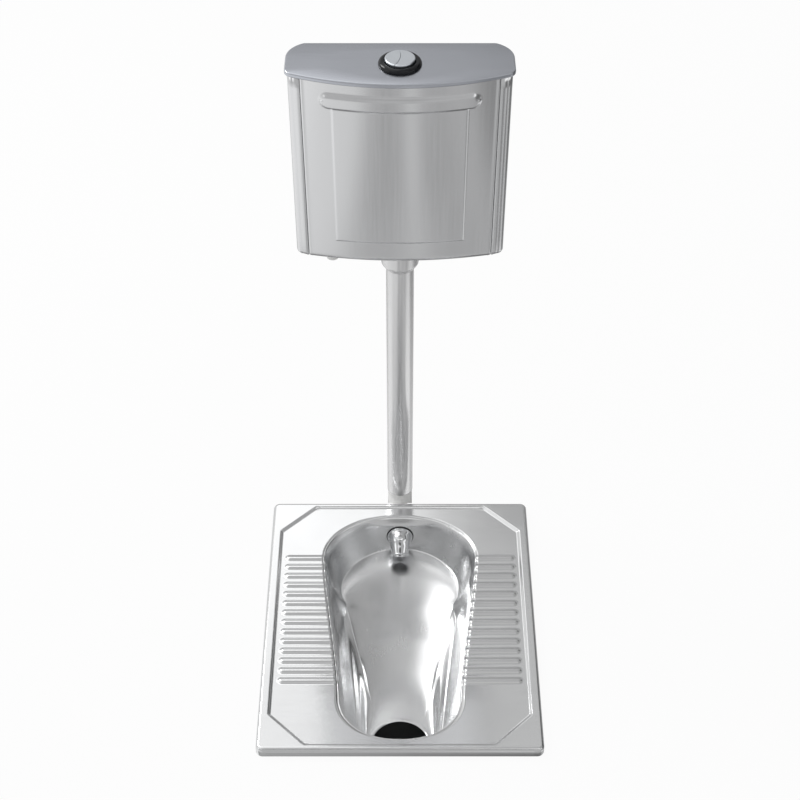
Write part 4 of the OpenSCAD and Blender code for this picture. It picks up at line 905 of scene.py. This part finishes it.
def side_path(z, x_start, count=46, fold=1.0):
    """A side's outline at a height: the front's curve from x_start, two corners, and the end at the wall."""
    w, r, rb = half_width(z), FRONT_CORNER_R, BACK_CORNER_R
    x1 = w - 0.625 * r
    slope = math.degrees(math.atan(2 * bulge(z) * x1 / w / w))
    c = (x1 - r * math.sin(math.radians(slope)), front_y(x1, z) + r * math.cos(math.radians(slope)))
    cb = (w - rb, WALL_Y - rb)
    xs = np.linspace(x_start, x1, count)[:-1]
    path = [(x, front_y(x, z) + fold * seam_fold(x * TANK_HALF_W / w)) for x in xs]
    path += corner_arc(c, r, slope - 90, 0, 12)
    path += [(c[0] + r, y) for y in np.linspace(c[1], cb[1], 6)[1:-1]]
    path += corner_arc(cb, rb, 0, 90, 22)
    path += [(BACK_EDGE_X, WALL_Y)]
    return np.array(path)


def path_offset(p, d):
    """Moves an open path to its left by d."""
    t = np.gradient(p, axis=0)
    t /= np.linalg.norm(t, axis=1)[:, None]
    return p + d * np.stack([-t[:, 1], t[:, 0]], axis=1)


def build_side(sx):
    """The side sheet at the right (+1) or the left (-1)."""
    foot = TANK_LOW + FOOT_ROUND
    grid = []
    for z in spaced((TANK_LOW, foot, 0.9), (foot, TANK_TOP, 30)):
        start = SEAM_X * half_width(z) / TANK_HALF_W - SEAM_LAP
        p = path_offset(side_path(z, start), foot_in(z))
        p[:, 1] = np.minimum(p[:, 1], WALL_Y)
        grid.append([(sx * x, y, z) for x, y in p])
    side = sheet_piece("cistern_side_sheet_" + ("right" if sx > 0 else "left"), np.array(grid), flip=sx < 0)
    return baked(thickened(side, TANK_SHEET - THINNER))


dress(build_front(), TANK_STEEL, "installation", "cistern_steel", "cistern_front")
dress(build_side(1), TANK_STEEL, "installation", "cistern_steel", "cistern_side_right")
dress(build_side(-1), TANK_STEEL, "installation", "cistern_steel", "cistern_side_left")


def lid_outline():
    """The cistern's outline at its top, moved outwards."""
    half = path_offset(side_path(TANK_TOP, 0.0, 24, 0.0), -LID_OVER)
    half[:, 1] = np.minimum(half[:, 1], WALL_Y)
    half = [tuple(p) for p in half if p[0] > 0.01]
    half.append((60.0, WALL_Y))
    front_mid = (0.0, front_y(0, TANK_TOP) - LID_OVER)
    mirrored = [(-x, y) for x, y in half[::-1]]
    return np.array([front_mid] + half + [(0.0, WALL_Y)] + mirrored)


def build_lid():
    """The lid as a closed ring: folded edge, rounded shoulder, top, hole and underside."""
    outer = lid_outline()
    n = len(outer)
    a = np.arctan2(outer[:, 1] - AXIS_Y, outer[:, 0])
    hole = np.column_stack([HOUSING_HOLE_R * np.cos(a), AXIS_Y + HOUSING_HOLE_R * np.sin(a)])

    def flat_loop(p, z):
        return np.column_stack([p, np.full(n, z)])

    def loop(d, z):
        p = inset(outer, d)
        p[:, 1] = np.minimum(p[:, 1], WALL_Y)
        return flat_loop(p, z)

    low, shoulder, under = LID_TOP - LID_LIP, LID_TOP - LID_ROUND, LID_TOP - TANK_SHEET
    lip_turns, shoulder_turns = np.radians((15, 35, 55, 75, 90)), np.radians((18, 36, 54, 72, 90))
    rows = [loop(TANK_SHEET, low + 0.6), loop(1.1, low)]
    rows += [loop(1.0 - math.sin(t), low + 1.6 * (1 - math.cos(t))) for t in lip_turns]
    rows += [loop(0.0, shoulder)]
    rows += [loop(LID_ROUND * (1 - math.cos(t)), shoulder + LID_ROUND * math.sin(t)) for t in shoulder_turns]
    rows += [flat_loop(mix(inset(outer, LID_ROUND), hole, 0.5), LID_TOP)]
    rows += [flat_loop(hole, LID_TOP), flat_loop(hole, under)]
    rows += [loop(2.0, under), loop(TANK_SHEET, under - 0.7)]
    lid = ring_piece("cistern_lid_sheet", rows)
    return sharpened(lid, 40)


dress(build_lid(), LID_STEEL, "lid", "lid_steel", "cistern_lid")


# ------------------------ buttons


def build_housing():
    """The bezel, its barrel, and the floor with holes for the push rods. Heights are from the lid's top."""
    floor_low, floor_top, barrel_r, bore_r = -32.0, -29.0, 28.6, 25.72
    profile = [(0.3, floor_low), (barrel_r, floor_low), (barrel_r, 0.0), (35.3, 0.0), (36.0, 0.7)]
    profile += [(35.9, 2.4), (35.0, 4.3), (33.2, 5.9), (31.0, 6.8), (28.8, 6.95), (27.2, 6.6), (26.1, 5.6)]
    profile += [(bore_r, 4.1), (bore_r, floor_top), (0.3, floor_top)]
    housing = lathe("button_bezel_and_barrel", profile, (0, AXIS_Y, LID_TOP), 128)
    low, high = floor_low - 5.5, floor_top + 6.5
    bit = [(0.01, low), (ROD_HOLE_R, low), (ROD_HOLE_R, high), (0.01, high)]
    drills = [lathe("drill", bit, (x, AXIS_Y, LID_TOP), 32) for x in (-ROD_X, ROD_X)]
    return sharpened(combined(housing, drills, "DIFFERENCE"), 40)


def copy_of(node, name, join_angle=0):
    """A copy of a solid of the frame, with doubles merged, and faces joined that differ by a few degrees."""
    mesh = frame["nodes"][node].data.copy()
    obj = bpy.data.objects.new(name, mesh)
    bpy.context.scene.collection.objects.link(obj)
    bm = bmesh.new()
    bm.from_mesh(mesh)
    bmesh.ops.remove_doubles(bm, verts=bm.verts, dist=1e-6)
    if join_angle:
        bmesh.ops.dissolve_limit(bm, angle_limit=math.radians(join_angle), verts=bm.verts, edges=bm.edges)
    bm.to_mesh(mesh)
    bm.free()
    return obj


def build_button(node):
    """A button of the frame with the edges of its moulding eased."""
    obj = copy_of(node, node + "_cap", join_angle=2)
    ease_edges = obj.modifiers.new("eased edges", "BEVEL")
    ease_edges.width = 0.9 * MM
    ease_edges.segments = 3
    ease_edges.limit_method = "ANGLE"
    ease_edges.angle_limit = math.radians(50)
    baked(obj)
    obj.data.polygons.foreach_set("use_smooth", [abs(f.normal.z) < 0.999 for f in obj.data.polygons])
    return sharpened(obj, 34)


dress(build_housing(), BEZEL_BLACK, "lid", "black_plastic", "button_housing")
dress(build_button("full_button"), BUTTON_CHROME, "full_press", "button_chrome", "full_button")
dress(build_button("half_button"), BUTTON_CHROME, "half_press", "button_chrome", "half_button")


def build_return_spring(node):
    """A copy of a spring of the frame, which stands on the housing's floor."""
    obj = copy_of(node, node + "_coil")
    obj.data.polygons.foreach_set("use_smooth", [True] * len(obj.data.polygons))
    dress(obj, WIRE_STEEL, "lid", SLOT_OF[node], node)
    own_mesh(obj)


build_return_spring("full_button_spring")
build_return_spring("half_button_spring")


# ------------------------ floor, light, camera


def build_floor():
    """A pale floor with openings for the bowl and for the bend; mirrors see the studio through it."""
    far, opening_w, glow_share = 30000, 238, 0.94
    mat = bpy.data.materials.new("white floor")
    mat.use_nodes = True
    tree = mat.node_tree
    tree.nodes.clear()
    matt = put(tree, "ShaderNodeBsdfDiffuse")
    matt.inputs["Color"].default_value = (0.8, 0.8, 0.8, 1)
    glow = put(tree, "ShaderNodeEmission")
    clear = put(tree, "ShaderNodeBsdfTransparent")
    path = put(tree, "ShaderNodeLightPath")
    lit = put(tree, "ShaderNodeMixShader")
    tree.links.new(calc(tree, "MULTIPLY", path.outputs["Is Camera Ray"], glow_share), lit.inputs["Fac"])
    tree.links.new(matt.outputs[0], lit.inputs[1])
    tree.links.new(glow.outputs[0], lit.inputs[2])
    both = put(tree, "ShaderNodeMixShader")
    tree.links.new(path.outputs["Is Glossy Ray"], both.inputs["Fac"])
    tree.links.new(lit.outputs[0], both.inputs[1])
    tree.links.new(clear.outputs[0], both.inputs[2])
    out = put(tree, "ShaderNodeOutputMaterial")
    tree.links.new(both.outputs[0], out.inputs["Surface"])
    xs = [-far, -opening_w, -PIPE_R, PIPE_R, opening_w, far]
    ys = [-far, -OCT_HALF_L, OCT_HALF_L, AXIS_Y - PIPE_R, AXIS_Y + PIPE_R, far]
    verts = [(x, y, 0) for y in ys for x in xs]
    faces = []
    for r in range(5):
        for c in range(5):
            if (r == 1 and 0 < c < 4) or (r == 3 and c == 2):
                continue
            a = r * 6 + c
            faces.append((a, a + 1, a + 7, a + 6))
    obj = new_object("floor", verts, faces, smooth=False)
    obj.data.materials.append(mat)


def build_outlet_shade():
    """A dark disc just below the spigot: painted shade, standing for the darkness down the waste pipe."""
    shade_r, shade_z, count = 90, -200.6, 48
    dark = bpy.data.materials.new("painted outlet shade")
    dark.use_nodes = True
    shader = dark.node_tree.nodes["Principled BSDF"]
    shader.inputs["Base Color"].default_value = (0.01, 0.011, 0.011, 1)
    shader.inputs["Roughness"].default_value = 0.8
    a = np.linspace(0, 2 * math.pi, count, endpoint=False)
    ring = np.stack([shade_r * np.cos(a), OUTLET_Y + shade_r * np.sin(a), np.full(count, shade_z)], axis=1)
    outlet_shade = new_object("painted shade below the spigot", ring, [tuple(range(count))], smooth=False)
    outlet_shade.data.materials.append(dark)


CARD_SIZES = (
    "Centre azimuth", "Half width", "Side softness",
    "Centre elevation", "Half height", "Top softness", "Value",
)


def build_card():
    """Shader nodes: a soft-edged patch of sky at an azimuth from the wall and an elevation, in degrees."""
    tree = bpy.data.node_groups.new("studio_card", "ShaderNodeTree")
    socket_in(tree, "Behind")
    socket_in(tree, "Azimuth")
    socket_in(tree, "Elevation")
    for name in CARD_SIZES:
        socket_in(tree, name)
    socket_out(tree, "Value")
    start, end = put(tree, "NodeGroupInput"), put(tree, "NodeGroupOutput")
    given = {s.name: s for s in start.outputs if s.name}
    off = calc(tree, "SUBTRACT", given["Azimuth"], given["Centre azimuth"])
    off = calc(tree, "ABSOLUTE", calc(tree, "WRAP", off, 180.0, -180.0))
    up = calc(tree, "ABSOLUTE", calc(tree, "SUBTRACT", given["Elevation"], given["Centre elevation"]))
    masks = []
    for value, half, soft in ((off, "Half width", "Side softness"), (up, "Half height", "Top softness")):
        fade = put(tree, "ShaderNodeMapRange", interpolation_type="SMOOTHSTEP")
        tree.links.new(value, fade.inputs["Value"])
        tree.links.new(calc(tree, "ADD", given[half], given[soft]), fade.inputs["From Min"])
        tree.links.new(calc(tree, "SUBTRACT", given[half], given[soft]), fade.inputs["From Max"])
        masks.append(fade.outputs[0])
    share = calc(tree, "MULTIPLY", *masks)
    change = calc(tree, "SUBTRACT", given["Value"], given["Behind"])
    tree.links.new(calc(tree, "MULTIPLY_ADD", share, change, given["Behind"]), end.inputs["Value"])
    return tree


# The studio's patches, in the order of CARD_SIZES; each lies over the ones before it. Azimuth 0 is the wall,
# and the right is positive.
CARDS = (
    (-56.5, 58, 2.5, 57, 22, 4.5, 1.02),
    (-80, 60, 15, 2, 34, 10, 0.8),
    (-105, 60, 7, -42, 22, 8, 1.0),
    (61, 57, 3, 50, 35, 10, 0.6),
    (80, 48, 10, 50, 35, 10, 0.42),
    (12, 16, 8, 72, 10, 6, 0.44),
    (-31, 29, 4, 65, 8, 3, 1.55),
    (-20, 20.5, 1.5, 45, 3.5, 3, 1.45),
    (13, 11, 2, 42, 2.5, 1.5, 0.15),
    (30, 27, 5, 0, 28, 8, 0.36),
    (180, 60, 12, 68, 14, 5, 0.7),
    (180, 60, 12, 53.5, 4, 1.5, 1.4),
    (180, 8, 3, 64, 8, 4, 0.3),
    (0, 200, 5, 90, 14, 4, 0.52),
    (-150, 26, 8, 49, 6, 3, 1.0),
    (180, 70, 15, 15, 18, 8, 0.55),
    (92, 38, 8, 5, 28, 4, 0.17),
    (57, 17, 5, 27, 9, 3, 0.0),
    (180, 16, 5, 43, 5.5, 2, 0.08),
    (-108, 14, 6, 20, 12, 5, 1.3),
    (118, 18, 5, 21, 8, 3, 1.25),
    (180, 80, 12, -58, 12, 6, 0.34),
    (-150, 26, 8, -58, 12, 6, 0.45),
    (140, 36, 8, -58, 12, 6, 0.18),
    (0, 200, 5, -88, 15, 6, 0.12),
    (166, 28, 6, -34, 14, 6, 0.38),
    (152, 5, 4, -34, 12, 6, 0.5),
    (136, 9, 4, -34, 14, 6, 0.24),
    (107, 7, 4, -34, 14, 6, 0.62),
    (75, 24, 5, -34, 14, 6, 0.2),
    (180, 34, 10, -28, 4, 3, 0.6),
    (175, 2.4, 1.6, -35, 9, 3, 0.9),
    (180, 200, 5, -43, 4.8, 1.2, 0.4),
    (180, 200, 5, -44, 3.5, 2, 0.75),
    (-84, 26, 10, -43, 4.8, 1.2, 1.0),
    (108, 24, 8, -43, 4.8, 1.2, 1.2),
)


def build_world():
    """A studio drawn by direction: bright at the left and above, grey at the right. Cameras see white."""
    world = bpy.data.worlds.new("studio")
    bpy.context.scene.world = world
    world.use_nodes = True
    tree = world.node_tree
    where = put(tree, "ShaderNodeTexCoord")
    parts = put(tree, "ShaderNodeSeparateXYZ")
    tree.links.new(where.outputs["Generated"], parts.inputs[0])
    to_degrees = 180 / math.pi
    heading = calc(tree, "ARCTAN2", parts.outputs["X"], parts.outputs["Y"])
    azimuth = calc(tree, "MULTIPLY", heading, to_degrees)
    elevation = calc(tree, "MULTIPLY", calc(tree, "ARCSINE", parts.outputs["Z"]), to_degrees)
    card = build_card()
    value = 0.5
    for sizes in CARDS:
        node = put(tree, "ShaderNodeGroup", node_tree=card)
        feed(tree, node.inputs["Behind"], value)
        tree.links.new(azimuth, node.inputs["Azimuth"])
        tree.links.new(elevation, node.inputs["Elevation"])
        for socket, size in zip(node.inputs[3:], sizes):
            socket.default_value = size
        value = node.outputs[0]
    path = put(tree, "ShaderNodeLightPath")
    seen = calc(tree, "MAXIMUM", path.outputs["Is Camera Ray"], path.outputs["Is Transmission Ray"])
    pick = put(tree, "ShaderNodeMix", data_type="FLOAT")
    for socket, item in zip((pick.inputs["Factor"], pick.inputs["A"], pick.inputs["B"]), (seen, value, 1.0)):
        feed(tree, socket, item)
    tree.links.new(pick.outputs["Result"], tree.nodes["Background"].inputs["Color"])


def soft_light(name, place, aim, size, power):
    """A rectangular lamp: place, aim and size in metres, power in watts."""
    data = bpy.data.lights.new(name, "AREA")
    data.shape = "RECTANGLE"
    data.size, data.size_y = size
    data.energy = power
    obj = bpy.data.objects.new(name, data)
    obj.location = place
    obj.rotation_euler = (Vector(aim) - Vector(place)).to_track_quat("-Z", "Y").to_euler()
    bpy.context.scene.collection.objects.link(obj)


build_floor()
build_outlet_shade()
build_world()
soft_light("key", (-2.0, 1.6, 2.6), (0, 0, 0), (1.1, 1.1), 30)

# The camera fitted to the pan's corners: its place in metres, and the degrees it looks down
CAMERA_PLACE, LOOK_DOWN = (0, -2.0877, 2.4202), 41.693
camera = bpy.data.cameras.new("camera")
camera.sensor_width = 36.0
camera.lens = 76.5
camera_object = bpy.data.objects.new("camera", camera)
camera_object.location = CAMERA_PLACE
camera_object.rotation_euler = (math.radians(90 - LOOK_DOWN), 0, 0)
bpy.context.scene.collection.objects.link(camera_object)
bpy.context.scene.camera = camera_object
bpy.context.scene.view_settings.view_transform = "Standard"
